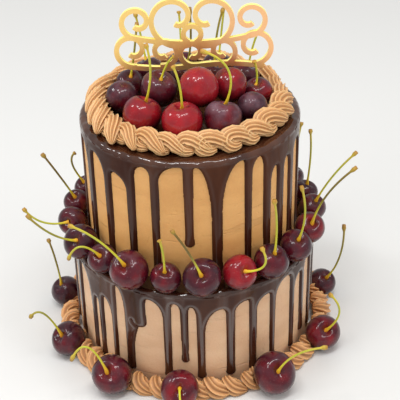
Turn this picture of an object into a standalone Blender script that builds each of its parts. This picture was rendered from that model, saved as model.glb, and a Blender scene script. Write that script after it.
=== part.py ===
"""Two-tier buttercream cake with dark glaze drips, piped borders, fresh cherries and a scroll topper.

The origin is the centre of the lower tier's base, on the surface that the cake stands on.
+X is to the right and -Y is the front. Azimuths are in degrees from the front, positive towards +X.
"""

import itertools
import math
import random
from dataclasses import dataclass

import bmesh
import bpy
from mathutils import Vector

MM = 0.001
GAP = 0.3 * MM

# Tiers: a seven-inch cake under a six-inch one
LOWER_RADIUS = 88.0 * MM
LOWER_HEIGHT = 81.0 * MM
UPPER_RADIUS = 75.5 * MM
UPPER_TOP = 175.0 * MM
UPPER_SHIFT = 2.5 * MM
TIER_BEVEL = 2.0 * MM
TIER_SIDES = 60

# Glaze
GLAZE_SKIN = 1.3 * MM
GLAZE_CAP = 2.7 * MM
GLAZE_SHOULDER = 3.5 * MM
GLAZE_FOOT = 9.0 * MM
DRIP_EDGE = 0.7
ARCH_CORNER = 5.0
ARCH_DROP = 1.0
UPPER_SPREAD, UPPER_SEED = 17.0, 5
LOWER_SPREAD, LOWER_SEED = 16.5, 8

# Piped borders
ROPE_RADIUS = 65.4 * MM
ROPE_WIDTH = 16.4 * MM
ROPE_HEIGHT = 13.5 * MM
ROPE_SCOOPS = 27
ROPE_COLUMNS = 4
ROPE_DOME = (180, 150, 112, 76, 40, 8, 0)
ROPE_SLANT = 0.45
ROPE_VALLEY = 0.66
SHELL_WIDTH = 13.0 * MM
SHELL_HEIGHT = 14.0 * MM
SHELL_COUNT = 46
SHELL_COLUMNS = 3
SHELL_PROFILE = ((0.85, 0.0), (1.0, 0.3), (0.92, 0.66), (0.55, 0.95), (0.0, 0.86))
SHELL_SLANT = 0.35
SHELL_VALLEY_WIDTH = 0.72
SHELL_VALLEY_HEIGHT = 0.8
NOTCH_CLEARANCE = 0.8 * MM
NOTCH_WALL = 0.9 * MM
NOTCH_OFFSETS = (-0.7, 0.0, 0.7)

# Cherries
STEM_RADIUS = 0.65 * MM
KNOB_RADIUS = 1.2 * MM
FRUIT_SEGMENTS = 9
HEAP_RADIUS = 46.5 * MM
HEAP_REACH = 56.6 * MM
HEAP_UNDERCUT = 0.78
HEAP_STEPS = 400
BACK_AZIMUTHS = (122, 154, 186, 218)
BACK_DIAMETER = 21.6
BACK_LEAN = 62
SHOWN_IN_HEAP = 11
SHOWN_SHARE = 0.15
SHELL_CONTACT = 1.7 * MM
HIDDEN_BASE_COUNT, HIDDEN_BASE_DIAMETER, HIDDEN_BASE_SEED = 3, 24.0, 3
HIDDEN_LEDGE_COUNT, HIDDEN_LEDGE_DIAMETER, HIDDEN_LEDGE_SEED = 8, 20.4, 4

# Topper
TOPPER_Y = 8.0 * MM
TOPPER_THICKNESS = 3.0 * MM
STROKE = 3.4 * MM
STICK_X = 7.0 * MM
STICK_WIDTH = 6.0 * MM
STICK_DEPTH = 40.0 * MM
BAR_Z = 206.5 * MM
BAR_SPACING = 18.0 * MM

GLAZE_LOWER_TOP = LOWER_HEIGHT + GAP + GLAZE_CAP
GLAZE_UPPER_TOP = UPPER_TOP + GAP + GLAZE_CAP
LOWER_OUTER = LOWER_RADIUS + GAP + GLAZE_SKIN
UPPER_OUTER = UPPER_RADIUS + GAP + GLAZE_SKIN
UPPER_AXIS = Vector((0.0, UPPER_SHIFT, 0.0))


@dataclass(frozen=True)
class Finish:
    """Colour, roughness and metallic value of one material."""

    colour: tuple
    roughness: float
    metallic: float = 0.0


CREAM = Finish((0.72, 0.42, 0.22), 0.6)
PIPING = Finish((0.62, 0.36, 0.18), 0.55)
GLAZE = Finish((0.035, 0.014, 0.01), 0.12)
CHERRY = Finish((0.16, 0.012, 0.02), 0.25)
GOLD = Finish((0.95, 0.62, 0.22), 0.12, 1.0)


@dataclass(frozen=True)
class Drip:
    """One glaze drip: where it runs, how wide and long it is, and the glaze edge to its right."""

    azimuth: float
    width: float
    length: float
    arch: float


UPPER_DRIPS = (
    Drip(-84, 5.5, 90, 6), Drip(-64.6, 6.5, 90, 7.5), Drip(-47.7, 5.1, 90, 14.5), Drip(-32.2, 4.9, 90, 3.5),
    Drip(-18.7, 4.2, 90, 0.5), Drip(-1.4, 4.4, 63, 1), Drip(12.9, 5.5, 90, 0.5), Drip(30.2, 4.1, 90, 2),
    Drip(42.6, 5.1, 90, 15), Drip(53.1, 5.8, 90, 14), Drip(64.4, 5.6, 84, 9), Drip(80, 6, 90, 8),
)
LOWER_DRIPS = (
    Drip(-83, 4.5, 72, 5), Drip(-68.5, 4.4, 72, 2), Drip(-54.2, 3.1, 70, 22), Drip(-48.5, 3.3, 72, 17),
    Drip(-40, 3, 72, 1.5), Drip(-31.4, 4.4, 72, 41), Drip(-24.9, 4.4, 43, 5), Drip(-12.5, 3.5, 72, 6),
    Drip(-4.6, 3.1, 57, 8.5), Drip(2.8, 3.5, 72, 12), Drip(16.5, 4, 72, 9), Drip(27.6, 3.8, 72, 10),
    Drip(38.6, 3.1, 70, 4), Drip(52.2, 3.1, 72, 10), Drip(61.3, 3.6, 66, 3), Drip(72, 3.6, 72, 6),
)


@dataclass(frozen=True)
class Placed:
    """A cherry set by hand: its place, its size in mm, its dimple's direction and its stem.

    The stem's middle and tip are offsets in mm from the middle of the fruit.
    """

    azimuth: float
    diameter: float
    lean: tuple
    middle: tuple
    tip: tuple


LEDGE_CHERRIES = (
    Placed(-113, 19.0, (-45, 70), (-9, -5, 24), (-6, -5, 34)),
    Placed(-98.5, 19.5, (-15, 70), (-10, -6, 27), (-21, -6, 46)),
    Placed(-81, 21.0, (-25, 25), (-20, -10, 6), (-33, -10, 18)),
    Placed(-61, 24.4, (-25, 40), (-18, -12, 15), (-34, -12, 31)),
    Placed(-45.5, 20.6, (-15, 50), (-13, -10, 17), (-22, -10, 7)),
    Placed(-28.2, 27.0, (-35, 55), (-18, -11, 32), (-37, -10, 44)),
    Placed(-12.1, 21.0, (-15, 70), (-1, -7, 25), (-3, -7, 36)),
    Placed(3.7, 26.0, (-5, 45), (-9, -12, 30), (-19, -11, 46)),
    Placed(20.3, 23.6, (35, 35), (16, -11, 13), (14, -10, 27)),
    Placed(36.3, 24.4, (60, 70), (3, -4, 32), (1, -5, 53)),
    Placed(53.5, 22.8, (30, 65), (5, -7, 30), (2, -7, 53)),
    Placed(70, 22.0, (20, 55), (11, -8, 33), (30, -8, 54)),
    Placed(88.5, 20.4, (70, 65), (14, -5, 30), (30, -5, 49)),
    Placed(103.5, 19.0, (110, 75), (3, -3, 34), (2, -3, 55)),
)
BASE_CHERRIES = (
    Placed(-99.2, 22.8, (-83, 64), (-5, -4, 32), (-9, -4, 52)),
    Placed(-64.5, 25.2, (-56, 46), (-15, -8, 30), (-25, -8, 27)),
    Placed(-34.3, 28.2, (-27, 45), (-14, -12, 35), (-26, -12, 24)),
    Placed(-6.4, 26.8, (3, 45), (1, -23, 6), (4, -40, -12)),
    Placed(31.2, 30.0, (19, 43), (14, -12, 26), (35, -12, 32)),
    Placed(64.7, 25.6, (18, 48), (10, -11, 27), (2, -11, 44)),
    Placed(101.5, 21.8, (60, 55), (12, -9, 31), (14, -9, 60)),
)


@dataclass(frozen=True)
class Heaped:
    """A cherry in the heap on top: where it starts in mm, how high it lies, its size and its stem."""

    x: float
    y: float
    rise: float
    diameter: float
    lean: tuple
    middle: tuple
    tip: tuple


HEAP_CHERRIES = (
    Heaped(-31.7, -31.5, 0, 26.6, (82, 74), (7, -4, 32), (5, -4, 53)),
    Heaped(-4.8, -43.7, 0, 27.6, (-5, 73), (-1, -7, 30), (-5, -7, 44)),
    Heaped(23.0, -40.0, 0, 25.8, (90, 78), (4, -4, 36), (-14, -4, 51)),
    Heaped(41.5, -19.5, 0, 21.0, (170, 10), (1.3, 7.6, 1.4), (1.6, 9.2, 1.6)),
    Heaped(46.5, 3.0, 0, 20.8, (-60, 75), (-1, 0, 15), (-3, 0, 24)),
    Heaped(-46.0, -2.0, 0, 22.8, (-150, 10), (-4.2, 7.3, 1.5), (-5, 8.7, 1.8)),
    Heaped(-42.0, 21.0, 0, 20.4, (30, 72), (4, 2, 22), (7, 6, 44)),
    Heaped(-20.4, -5.0, 7, 25.6, (40, 72), (6, -2, 19), (11, -2, 25)),
    Heaped(8.4, -18.5, 12, 27.0, (160, -20), (3.2, 8.9, -3.5), (3.9, 10.8, -4.2)),
    Heaped(29.0, -1.0, 8, 24.0, (170, 10), (1.5, 8.7, 1.6), (1.8, 10.5, 1.9)),
    Heaped(-4.5, 24.0, 4, 20.0, (60, 75), (6, 2, 22), (6, 4, 50)),
    Heaped(17.0, 24.5, 3, 20.0, (150, 65), (3, 5, 28), (8, 8, 48)),
)


def direction(azimuth, elevation=0.0):
    """Unit vector towards an azimuth from the front and an elevation, both in degrees."""
    az, el = math.radians(azimuth), math.radians(elevation)
    return Vector((math.sin(az) * math.cos(el), -math.cos(az) * math.cos(el), math.sin(el)))


def material(name, finish):
    """Principled material made from a finish."""
    made = bpy.data.materials.new(name)
    made.use_nodes = True
    shader = made.node_tree.nodes["Principled BSDF"]
    shader.inputs["Base Color"].default_value = (*finish.colour, 1.0)
    shader.inputs["Roughness"].default_value = finish.roughness
    shader.inputs["Metallic"].default_value = finish.metallic
    made.diffuse_color = (*finish.colour, 1.0)
    return made


def object_from(name, mesh_data, finish, sharp_angle=35.0):
    """Object with its own material from a bmesh whose faces are turned outwards."""
    bmesh.ops.recalc_face_normals(mesh_data, faces=mesh_data.faces)
    mesh = bpy.data.meshes.new(name)
    mesh_data.to_mesh(mesh)
    mesh_data.free()
    mesh.shade_smooth()
    mesh.set_sharp_from_angle(angle=math.radians(sharp_angle))
    mesh.materials.append(material(name + "_finish", finish))
    made = bpy.data.objects.new(name, mesh)
    bpy.context.scene.collection.objects.link(made)
    return made


def cut(target, cutter):
    """Cut a shape out of an object."""
    step = target.modifiers.new("slot", "BOOLEAN")
    step.operation = "DIFFERENCE"
    step.solver = "EXACT"
    step.object = cutter


def join_loops(mesh_data, first, second, closed=True):
    """Quads between two loops of vertices with the same count."""
    count = len(first)
    for index in range(count if closed else count - 1):
        after = (index + 1) % count
        mesh_data.faces.new((first[index], first[after], second[after], second[index]))


def swept_ring(sections):
    """Closed ring through a list of closed sections, each a list of points in the same order."""
    mesh_data = bmesh.new()
    loops = [[mesh_data.verts.new(point) for point in section] for section in sections]
    for index, loop in enumerate(loops):
        join_loops(mesh_data, loop, loops[(index + 1) % len(loops)])
    return mesh_data


def swept_cap(sections, bottom, top):
    """Closed cap through open sections that all start under one middle point and end over another."""
    mesh_data = bmesh.new()
    loops = [[mesh_data.verts.new(point) for point in section] for section in sections]
    low, high = mesh_data.verts.new(bottom), mesh_data.verts.new(top)
    for index, loop in enumerate(loops):
        after = loops[(index + 1) % len(loops)]
        join_loops(mesh_data, loop, after, closed=False)
        mesh_data.faces.new((low, loop[0], after[0]))
        mesh_data.faces.new((high, after[-1], loop[-1]))
    return mesh_data


def tier(name, radius, bottom, top, centre):
    """Buttercream-covered cake layer stack: a plain drum with softened edges."""
    mesh_data = bmesh.new()
    bmesh.ops.create_cone(
        mesh_data, cap_ends=True, segments=TIER_SIDES, radius1=radius, radius2=radius, depth=top - bottom
    )
    bmesh.ops.translate(mesh_data, verts=mesh_data.verts, vec=centre + Vector((0, 0, (top + bottom) / 2)))
    rim = [edge for edge in mesh_data.edges if all(vert.co.z > top - GAP for vert in edge.verts)]
    bmesh.ops.bevel(
        mesh_data, geom=rim, offset=TIER_BEVEL, segments=1, profile=0.5, affect="EDGES", material=-1
    )
    return object_from(name, mesh_data, CREAM)


def with_hidden_drips(drips, spread, seed):
    """The drips that were set by hand and, past them, evenly uneven ones round the back."""
    source = random.Random(seed)
    first, last = drips[0].azimuth + 360.0, drips[-1].azimuth
    count = round((first - last) / spread) - 1
    step = (first - last) / (count + 1)
    longest = max(drip.length for drip in drips)
    hidden = [
        Drip(
            last + step * (index + 1) + source.uniform(-2.0, 2.0),
            source.uniform(3.6, 6.0),
            longest * source.uniform(0.72, 1.0),
            source.uniform(4, 14),
        )
        for index in range(count)
    ]
    return list(drips) + hidden


def glaze_columns(drips):
    """Azimuth and hanging length in metres of each column of a glaze skirt, round once."""
    columns = []
    for index, drip in enumerate(drips):
        before, after = drips[index - 1], drips[(index + 1) % len(drips)]
        half = drip.width / 2
        gap_end = after.azimuth - after.width / 2
        if gap_end < drip.azimuth:
            gap_end += 360.0
        middle = (drip.azimuth + half + gap_end) / 2
        columns.append((drip.azimuth - half - DRIP_EDGE, before.arch + ARCH_CORNER))
        columns.append((drip.azimuth - half, drip.length))
        columns.append((drip.azimuth + half, drip.length))
        columns.append((drip.azimuth + half + DRIP_EDGE, drip.arch + ARCH_CORNER))
        columns.append((middle, drip.arch))
    return [(azimuth, (length + ARCH_DROP) * MM) for azimuth, length in columns]


def upper_glaze():
    """Glaze on the upper tier: a thin cap, a rounded rim and drips down the side."""
    inner = UPPER_RADIUS + GAP
    under = UPPER_TOP + GAP
    sections = []
    for azimuth, length in glaze_columns(with_hidden_drips(UPPER_DRIPS, UPPER_SPREAD, UPPER_SEED)):
        out = direction(azimuth)
        foot = GLAZE_UPPER_TOP - GLAZE_SHOULDER - length
        foot = max(foot, GLAZE_LOWER_TOP + GAP)
        places = (
            (inner, under), (inner, foot), (UPPER_OUTER, foot),
            (UPPER_OUTER, GLAZE_UPPER_TOP - GLAZE_SHOULDER), (UPPER_OUTER - GLAZE_SHOULDER, GLAZE_UPPER_TOP),
        )
        sections.append([UPPER_AXIS + out * radius + Vector((0, 0, z)) for radius, z in places])
    low = UPPER_AXIS + Vector((0, 0, under))
    high = UPPER_AXIS + Vector((0, 0, GLAZE_UPPER_TOP))
    return object_from("glaze_upper", swept_cap(sections, low, high), GLAZE)


def lower_glaze():
    """Glaze on the lower tier: a ring on the ledge, a rounded rim and drips down the side."""
    under = LOWER_HEIGHT + GAP
    sections = []
    for azimuth, length in glaze_columns(with_hidden_drips(LOWER_DRIPS, LOWER_SPREAD, LOWER_SEED)):
        out = direction(azimuth)
        foot = max(GLAZE_LOWER_TOP - GLAZE_SHOULDER - length, GLAZE_FOOT)
        places = (
            (LOWER_RADIUS + GAP, under), (LOWER_RADIUS + GAP, foot), (LOWER_OUTER, foot),
            (LOWER_OUTER, GLAZE_LOWER_TOP - GLAZE_SHOULDER), (LOWER_OUTER - GLAZE_SHOULDER, GLAZE_LOWER_TOP),
        )
        section = [out * radius + Vector((0, 0, z)) for radius, z in places]
        wall = UPPER_AXIS + out * (UPPER_RADIUS + GAP)
        section += [wall + Vector((0, 0, GLAZE_LOWER_TOP)), wall + Vector((0, 0, under))]
        sections.append(section)
    return object_from("glaze_lower", swept_ring(sections), GLAZE)


def rope_border():
    """Rope of overlapping piped scoops round the top rim."""
    count = ROPE_SCOOPS * ROPE_COLUMNS
    sections = []
    for index in range(count):
        turn = index / ROPE_COLUMNS
        out = direction(360.0 * index / count)
        section = []
        for angle in ROPE_DOME:
            across, up = math.cos(math.radians(angle)), math.sin(math.radians(angle))
            swell = abs(math.sin(math.pi * (turn + ROPE_SLANT * across))) ** 0.7
            scale = ROPE_VALLEY + (1 - ROPE_VALLEY) * swell
            offset = -across * ROPE_WIDTH / 2 * scale
            height = ROPE_HEIGHT * max(up, 0.0) * scale
            place = UPPER_AXIS + out * (ROPE_RADIUS + offset)
            section.append(place + Vector((0, 0, GLAZE_UPPER_TOP + GAP + height)))
        sections.append(section)
    return object_from("border_top", swept_ring(sections), PIPING)


def clear_radius(directions, height, radius, cherries):
    """The radius, cut back where any of the directions enters a cherry that the border runs behind."""
    for out, cherry in itertools.product(directions, cherries):
        reach = cherry.radius + NOTCH_CLEARANCE
        offset = height - cherry.centre.z
        chord = reach * reach - offset * offset
        along = cherry.centre.xy.dot(out.xy)
        aside = cherry.centre.xy.length_squared - along * along
        if along > 0 and chord > aside:
            radius = min(radius, along - math.sqrt(chord - aside))
    return radius


def shell_border(cherries):
    """Ring of piped shells round the foot of the lower tier, notched behind each cherry."""
    count = SHELL_COUNT * SHELL_COLUMNS
    inner = LOWER_OUTER + GAP
    sections = []
    for index in range(count):
        out = direction(360.0 * index / count)
        beside = [direction(360.0 * (index + offset) / count) for offset in NOTCH_OFFSETS]
        section = [out * inner]
        for across, up in SHELL_PROFILE:
            swell = abs(math.sin(math.pi * (index / SHELL_COLUMNS + SHELL_SLANT * up))) ** 0.6
            height = SHELL_HEIGHT * up * (SHELL_VALLEY_HEIGHT + (1 - SHELL_VALLEY_HEIGHT) * swell)
            radius = inner + SHELL_WIDTH * across * (SHELL_VALLEY_WIDTH + (1 - SHELL_VALLEY_WIDTH) * swell)
            if across > 0:
                radius = max(clear_radius(beside, height, radius, cherries), inner + NOTCH_WALL)
            section.append(out * radius + Vector((0, 0, height)))
        sections.append(section)
    return object_from("border_base", swept_ring(sections), PIPING)


@dataclass
class Cherry:
    """A fruit with its stem: its middle, its size, where its dimple faces, and its stem's route."""

    name: str
    centre: Vector
    radius: float
    axis: Vector
    middle: Vector
    tip: Vector
    floor: float


# Radius and height of each ring of the fruit, as shares of its radius, from the blossom end up
FRUIT_PROFILE = ((0.50, -0.85), (0.87, -0.47), (1.0, 0.02), (0.87, 0.48), (0.50, 0.80))
PIT_HEIGHT = 0.58
BLOSSOM_END = 0.97


def turned_frame(axis):
    """Two directions square to an axis."""
    side = axis.cross(Vector((0.0, 0.0, 1.0)))
    if side.length < 0.1:
        side = Vector((1.0, 0.0, 0.0))
    side.normalize()
    return side, axis.cross(side).normalized()


def circle(centre, radius, frame, count):
    """Points of a circle in the plane of a frame."""
    side, over = frame
    angles = [2 * math.pi * index / count for index in range(count)]
    return [centre + (side * math.cos(angle) + over * math.sin(angle)) * radius for angle in angles]


def stem_sections(cherry, pit, frame):
    """Three-sided sections along the stem, from the pit to the knob at its end."""
    middle, tip = cherry.centre + cherry.middle, cherry.centre + cherry.tip
    control = middle * 2 - (pit + tip) / 2
    sections = []
    before = cherry.axis
    for share, radius in ((0.4, STEM_RADIUS), (0.75, STEM_RADIUS), (1.0, KNOB_RADIUS)):
        place = pit * (1 - share) ** 2 + control * 2 * share * (1 - share) + tip * share ** 2
        heading = ((control - pit) * (1 - share) + (tip - control) * share).normalized()
        turn = before.rotation_difference(heading)
        frame = tuple(turn @ line for line in frame)
        before = heading
        sections.append(circle(place, radius, frame, 3))
    return sections


def cherry_object(cherry):
    """Cherry with its dimple and its stem, one closed body that rests at its floor."""
    frame = turned_frame(cherry.axis)
    size = cherry.radius
    rings = [
        circle(cherry.centre + cherry.axis * size * height, size * width, frame, FRUIT_SEGMENTS)
        for width, height in FRUIT_PROFILE
    ]
    pit = cherry.centre + cherry.axis * size * PIT_HEIGHT
    pole = cherry.centre - cherry.axis * size * BLOSSOM_END
    mesh_data = bmesh.new()
    loops = [[mesh_data.verts.new(point) for point in ring] for ring in rings]
    for first, second in zip(loops, loops[1:]):
        join_loops(mesh_data, first, second)
    end = mesh_data.verts.new(pole)
    for index, vert in enumerate(loops[0]):
        mesh_data.faces.new((end, vert, loops[0][(index + 1) % FRUIT_SEGMENTS]))
    sections = [circle(pit, STEM_RADIUS * 1.5, frame, 3)] + stem_sections(cherry, pit, frame)
    stem = [[mesh_data.verts.new(point) for point in section] for section in sections]
    for side in range(3):
        lip = [loops[-1][(side * 3 + step - 1) % FRUIT_SEGMENTS] for step in range(4)]
        for first, second in zip(lip, lip[1:]):
            mesh_data.faces.new((first, second, stem[0][side]))
        mesh_data.faces.new((lip[3], stem[0][(side + 1) % 3], stem[0][side]))
    for first, second in zip(stem, stem[1:]):
        join_loops(mesh_data, first, second)
    mesh_data.faces.new(stem[-1])
    lowest = min(vert.co.z for loop in loops for vert in loop + [end])
    bmesh.ops.translate(mesh_data, verts=mesh_data.verts, vec=(0, 0, cherry.floor - lowest))
    return object_from(cherry.name, mesh_data, CHERRY, 60.0)


def hand_set(name, placed, axis, contact, floor):
    """Cherry from a hand-set place on a ring, touching the wall at the contact radius."""
    radius = placed.diameter / 2 * MM
    centre = axis + direction(placed.azimuth) * (contact + radius)
    centre.z = floor + radius
    middle, tip = Vector(placed.middle) * MM, Vector(placed.tip) * MM
    return Cherry(name, centre, radius, direction(*placed.lean), middle, tip, floor)


def hidden_places(placed, count, diameter, seed):
    """Cherries round the back, evenly spaced between the last hand-set one and the first."""
    source = random.Random(seed)
    start, stop = placed[-1].azimuth, placed[0].azimuth + 360.0
    step = (stop - start) / (count + 1)
    result = []
    for index in range(count):
        azimuth = start + step * (index + 1)
        out = direction(azimuth)
        reach = source.uniform(8, 16)
        result.append(
            Placed(
                azimuth,
                diameter * source.uniform(0.95, 1.06),
                (azimuth + source.uniform(-25, 25), source.uniform(55, 78)),
                (out.x * reach * 0.5, out.y * reach * 0.5, 26),
                (out.x * reach * 1.5 + source.uniform(-6, 6), out.y * reach * 1.5, source.uniform(40, 48)),
            )
        )
    return result


def ring_of_cherries(prefix, placed, axis, contact, floor):
    """Named cherries on one ring."""
    return [
        hand_set(f"{prefix}_{number:02d}", one, axis, contact, floor) for number, one in enumerate(placed, 1)
    ]


def heap_start():
    """The heap's cherries before they are pushed apart, with hidden ones round its back rim."""
    floor = GLAZE_UPPER_TOP + GAP
    heaped = list(HEAP_CHERRIES)
    for azimuth in BACK_AZIMUTHS:
        out = direction(azimuth)
        x, y = out.x * HEAP_RADIUS / MM, out.y * HEAP_RADIUS / MM + UPPER_SHIFT / MM
        length = 40 + 6 * math.sin(math.radians(5 * azimuth))
        stem = (out.x * 8, out.y * 8, 24), (out.x * 14, out.y * 12, length)
        heaped.append(Heaped(x, y, 0, BACK_DIAMETER, (azimuth, BACK_LEAN), *stem))
    result = []
    for index, one in enumerate(heaped):
        radius = one.diameter / 2 * MM
        centre = Vector((one.x * MM, one.y * MM, floor + one.rise * MM + radius))
        result.append(
            Cherry(
                f"cherry_top_{index + 1:02d}", centre, radius, direction(*one.lean),
                Vector(one.middle) * MM, Vector(one.tip) * MM, floor + one.rise * MM,
            )
        )
    return result


def push_apart(cherries):
    """Move the heap's cherries sideways until none touches another, the rope or the topper's stick."""
    stick = Vector((STICK_X, TOPPER_Y))
    shown = cherries[:SHOWN_IN_HEAP]
    for _ in range(HEAP_STEPS):
        for index, one in enumerate(cherries):
            for other in cherries[index + 1:]:
                apart = one.centre - other.centre
                lack = one.radius + other.radius + 2 * GAP - apart.length
                if lack > 0:
                    share = 0.5 if other in shown or one not in shown else SHOWN_SHARE
                    one.centre.xy += apart.xy.normalized() * lack * share
                    other.centre.xy -= apart.xy.normalized() * lack * (1 - share)
        for one in cherries:
            from_stick = one.centre.xy - stick
            lack = one.radius + STICK_WIDTH / 2 + GAP - from_stick.length
            if lack > 0:
                one.centre.xy += from_stick.normalized() * lack
            if one.floor < GLAZE_UPPER_TOP + ROPE_HEIGHT / 3:
                from_axis = one.centre.xy - UPPER_AXIS.xy
                excess = from_axis.length - (HEAP_REACH - HEAP_UNDERCUT * one.radius)
                if excess > 0:
                    one.centre.xy -= from_axis.normalized() * excess
            if one.centre.z + one.radius > BAR_Z - STROKE:
                plate = TOPPER_Y - TOPPER_THICKNESS / 2 - GAP - one.radius
                one.centre.y = min(one.centre.y, plate)
    return cherries


def ribbon(points, width):
    """Flat band along points (x, z) in mm, as thick as the topper, with square ends."""
    mesh_data = bmesh.new()
    half, rear = width / 2, TOPPER_THICKNESS / 2
    loops = []
    for index, point in enumerate(points):
        before, after = points[max(index - 1, 0)], points[min(index + 1, len(points) - 1)]
        along = Vector((after[0] - before[0], 0.0, after[1] - before[1])).normalized()
        across = Vector((-along.z, 0.0, along.x)) * half
        place = Vector((point[0] * MM, TOPPER_Y, point[1] * MM))
        depth = Vector((0.0, rear, 0.0))
        low, high = place - across, place + across
        corners = (low - depth, high - depth, high + depth, low + depth)
        loops.append([mesh_data.verts.new(corner) for corner in corners])
    for first, second in zip(loops, loops[1:]):
        join_loops(mesh_data, first, second)
    mesh_data.faces.new(loops[0])
    mesh_data.faces.new(loops[-1])
    return mesh_data


def scroll(centre, outer, inner, start, turn, count=9):
    """Points of a spiral that runs from its outer radius in to its inner one, angles in degrees."""
    points = []
    for index in range(count):
        share = index / (count - 1)
        radius = outer + (inner - outer) * share
        angle = math.radians(start + turn * share)
        points.append((centre[0] + radius * math.cos(angle), centre[1] + radius * math.sin(angle)))
    return points


def wave(start, end, height, count=9):
    """Points of one gentle S between two places."""
    points = []
    for index in range(count):
        share = index / (count - 1)
        lift = height * math.sin(2 * math.pi * share)
        points.append((start[0] + (end[0] - start[0]) * share, start[1] + (end[1] - start[1]) * share + lift))
    return points


def hanging_curve(middle, half_width, rise, count=9):
    """Points of a shallow curve that is lowest in its middle."""
    shares = [2 * index / (count - 1) - 1 for index in range(count)]
    return [(middle[0] + half_width * share, middle[1] + rise * share * share) for share in shares]


def scroll_strokes():
    """Every stroke of the topper: a row of scrolls between two bars, with a heart and end curls on top."""
    bar = BAR_Z / MM
    upper_bar = bar + BAR_SPACING / MM
    strokes = [
        wave((-44, bar + 2), (52, bar), -2, 7),
        hanging_curve((3, upper_bar), 44, 5.8, 8),
    ]
    for x, radius, turn in ((-38, 13, -400), (-17, 11, 400), (3, 10, -400), (23, 11, 400), (45, 14, 400)):
        start = -90 - math.copysign(12, turn)
        strokes.append(scroll((x, bar + 1 + radius), radius, 0.32 * radius, start, turn, 9))
    strokes += [
        scroll((-34, upper_bar + 16), 12, 4, -100, -380, 10),
        scroll((42, upper_bar + 17), 12, 4, -80, 380, 10),
        scroll((-8, upper_bar + 18), 21.6, 4, -56.3, -400, 12),
        scroll((14, upper_bar + 18), 21.6, 4, -123.7, 400, 12),
        scroll((3, upper_bar + 6.5), 6, 6, -70, 320, 8),
    ]
    return strokes


def topper():
    """Scrollwork plate on one stick: strokes joined into one closed body."""
    pieces = bpy.data.collections.new("topper_pieces")
    bpy.context.scene.collection.children.link(pieces)
    bodies = [ribbon(stroke, STROKE) for stroke in scroll_strokes()]
    stick_top, stick_foot = BAR_Z + STROKE / 2, GLAZE_UPPER_TOP - STICK_DEPTH
    bodies.append(ribbon([(STICK_X / MM, stick_foot / MM), (STICK_X / MM, stick_top / MM)], STICK_WIDTH))
    made = [object_from(f"stroke_{index}", body, GOLD) for index, body in enumerate(bodies)]
    target = made.pop()
    target.name = "topper"
    target.data.materials[0].name = "topper_finish"
    for one in made:
        pieces.objects.link(one)
    join = target.modifiers.new("join", "BOOLEAN")
    join.operation = "UNION"
    join.solver = "EXACT"
    join.operand_type = "COLLECTION"
    join.collection = pieces
    apply_modifiers(target)
    for one in made:
        bpy.data.objects.remove(one)
    bpy.data.collections.remove(pieces)
    return target


def apply_modifiers(target):
    """Replace an object's mesh by its evaluated one and drop its modifiers."""
    evaluated = target.evaluated_get(bpy.context.evaluated_depsgraph_get())
    shape = bpy.data.meshes.new_from_object(evaluated)
    target.modifiers.clear()
    target.data = shape


def stick_slot():
    """Cutter for the hole that the stick makes in the cake."""
    low, high = GLAZE_UPPER_TOP - STICK_DEPTH - GAP, GLAZE_UPPER_TOP + STICK_DEPTH
    mesh_data = bmesh.new()
    bmesh.ops.create_cube(mesh_data, size=1.0)
    size = Vector((STICK_WIDTH + 2 * GAP, TOPPER_THICKNESS + 2 * GAP, high - low))
    bmesh.ops.scale(mesh_data, verts=mesh_data.verts, vec=size)
    bmesh.ops.translate(mesh_data, verts=mesh_data.verts, vec=(STICK_X, TOPPER_Y, (low + high) / 2))
    cutter = object_from("stick_slot", mesh_data, CREAM)
    cutter.hide_render = True
    cutter.display_type = "WIRE"
    return cutter


def main():
    """Build every node of the cake."""
    for old in list(bpy.data.objects):
        bpy.data.objects.remove(old)
    tier("tier_lower", LOWER_RADIUS, 0.0, LOWER_HEIGHT, Vector((0, 0, 0)))
    upper = tier("tier_upper", UPPER_RADIUS, LOWER_HEIGHT + GAP, UPPER_TOP, UPPER_AXIS)
    lower_glaze()
    cap = upper_glaze()
    slot = stick_slot()
    cut(upper, slot)
    cut(cap, slot)
    topper()
    rope_border()
    base = list(BASE_CHERRIES)
    base += hidden_places(BASE_CHERRIES, HIDDEN_BASE_COUNT, HIDDEN_BASE_DIAMETER, HIDDEN_BASE_SEED)
    ledge = list(LEDGE_CHERRIES)
    ledge += hidden_places(LEDGE_CHERRIES, HIDDEN_LEDGE_COUNT, HIDDEN_LEDGE_DIAMETER, HIDDEN_LEDGE_SEED)
    base_ring = ring_of_cherries("cherry_base", base, Vector((0, 0, 0)), LOWER_OUTER + SHELL_CONTACT, 0.0)
    on_ledge = GLAZE_LOWER_TOP + GAP
    ledge_ring = ring_of_cherries("cherry_ledge", ledge, UPPER_AXIS, UPPER_OUTER + 2 * GAP, on_ledge)
    shell_border(base_ring)
    for cherry in base_ring + ledge_ring + push_apart(heap_start()):
        cherry_object(cherry)


main()
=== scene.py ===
import logging
import math
import random
from collections.abc import Callable, Sequence
from dataclasses import dataclass, field, replace
from enum import Enum

import bmesh
import bpy
import numpy as np
from mathutils import Matrix, Vector, noise
from mathutils.kdtree import KDTree


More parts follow.
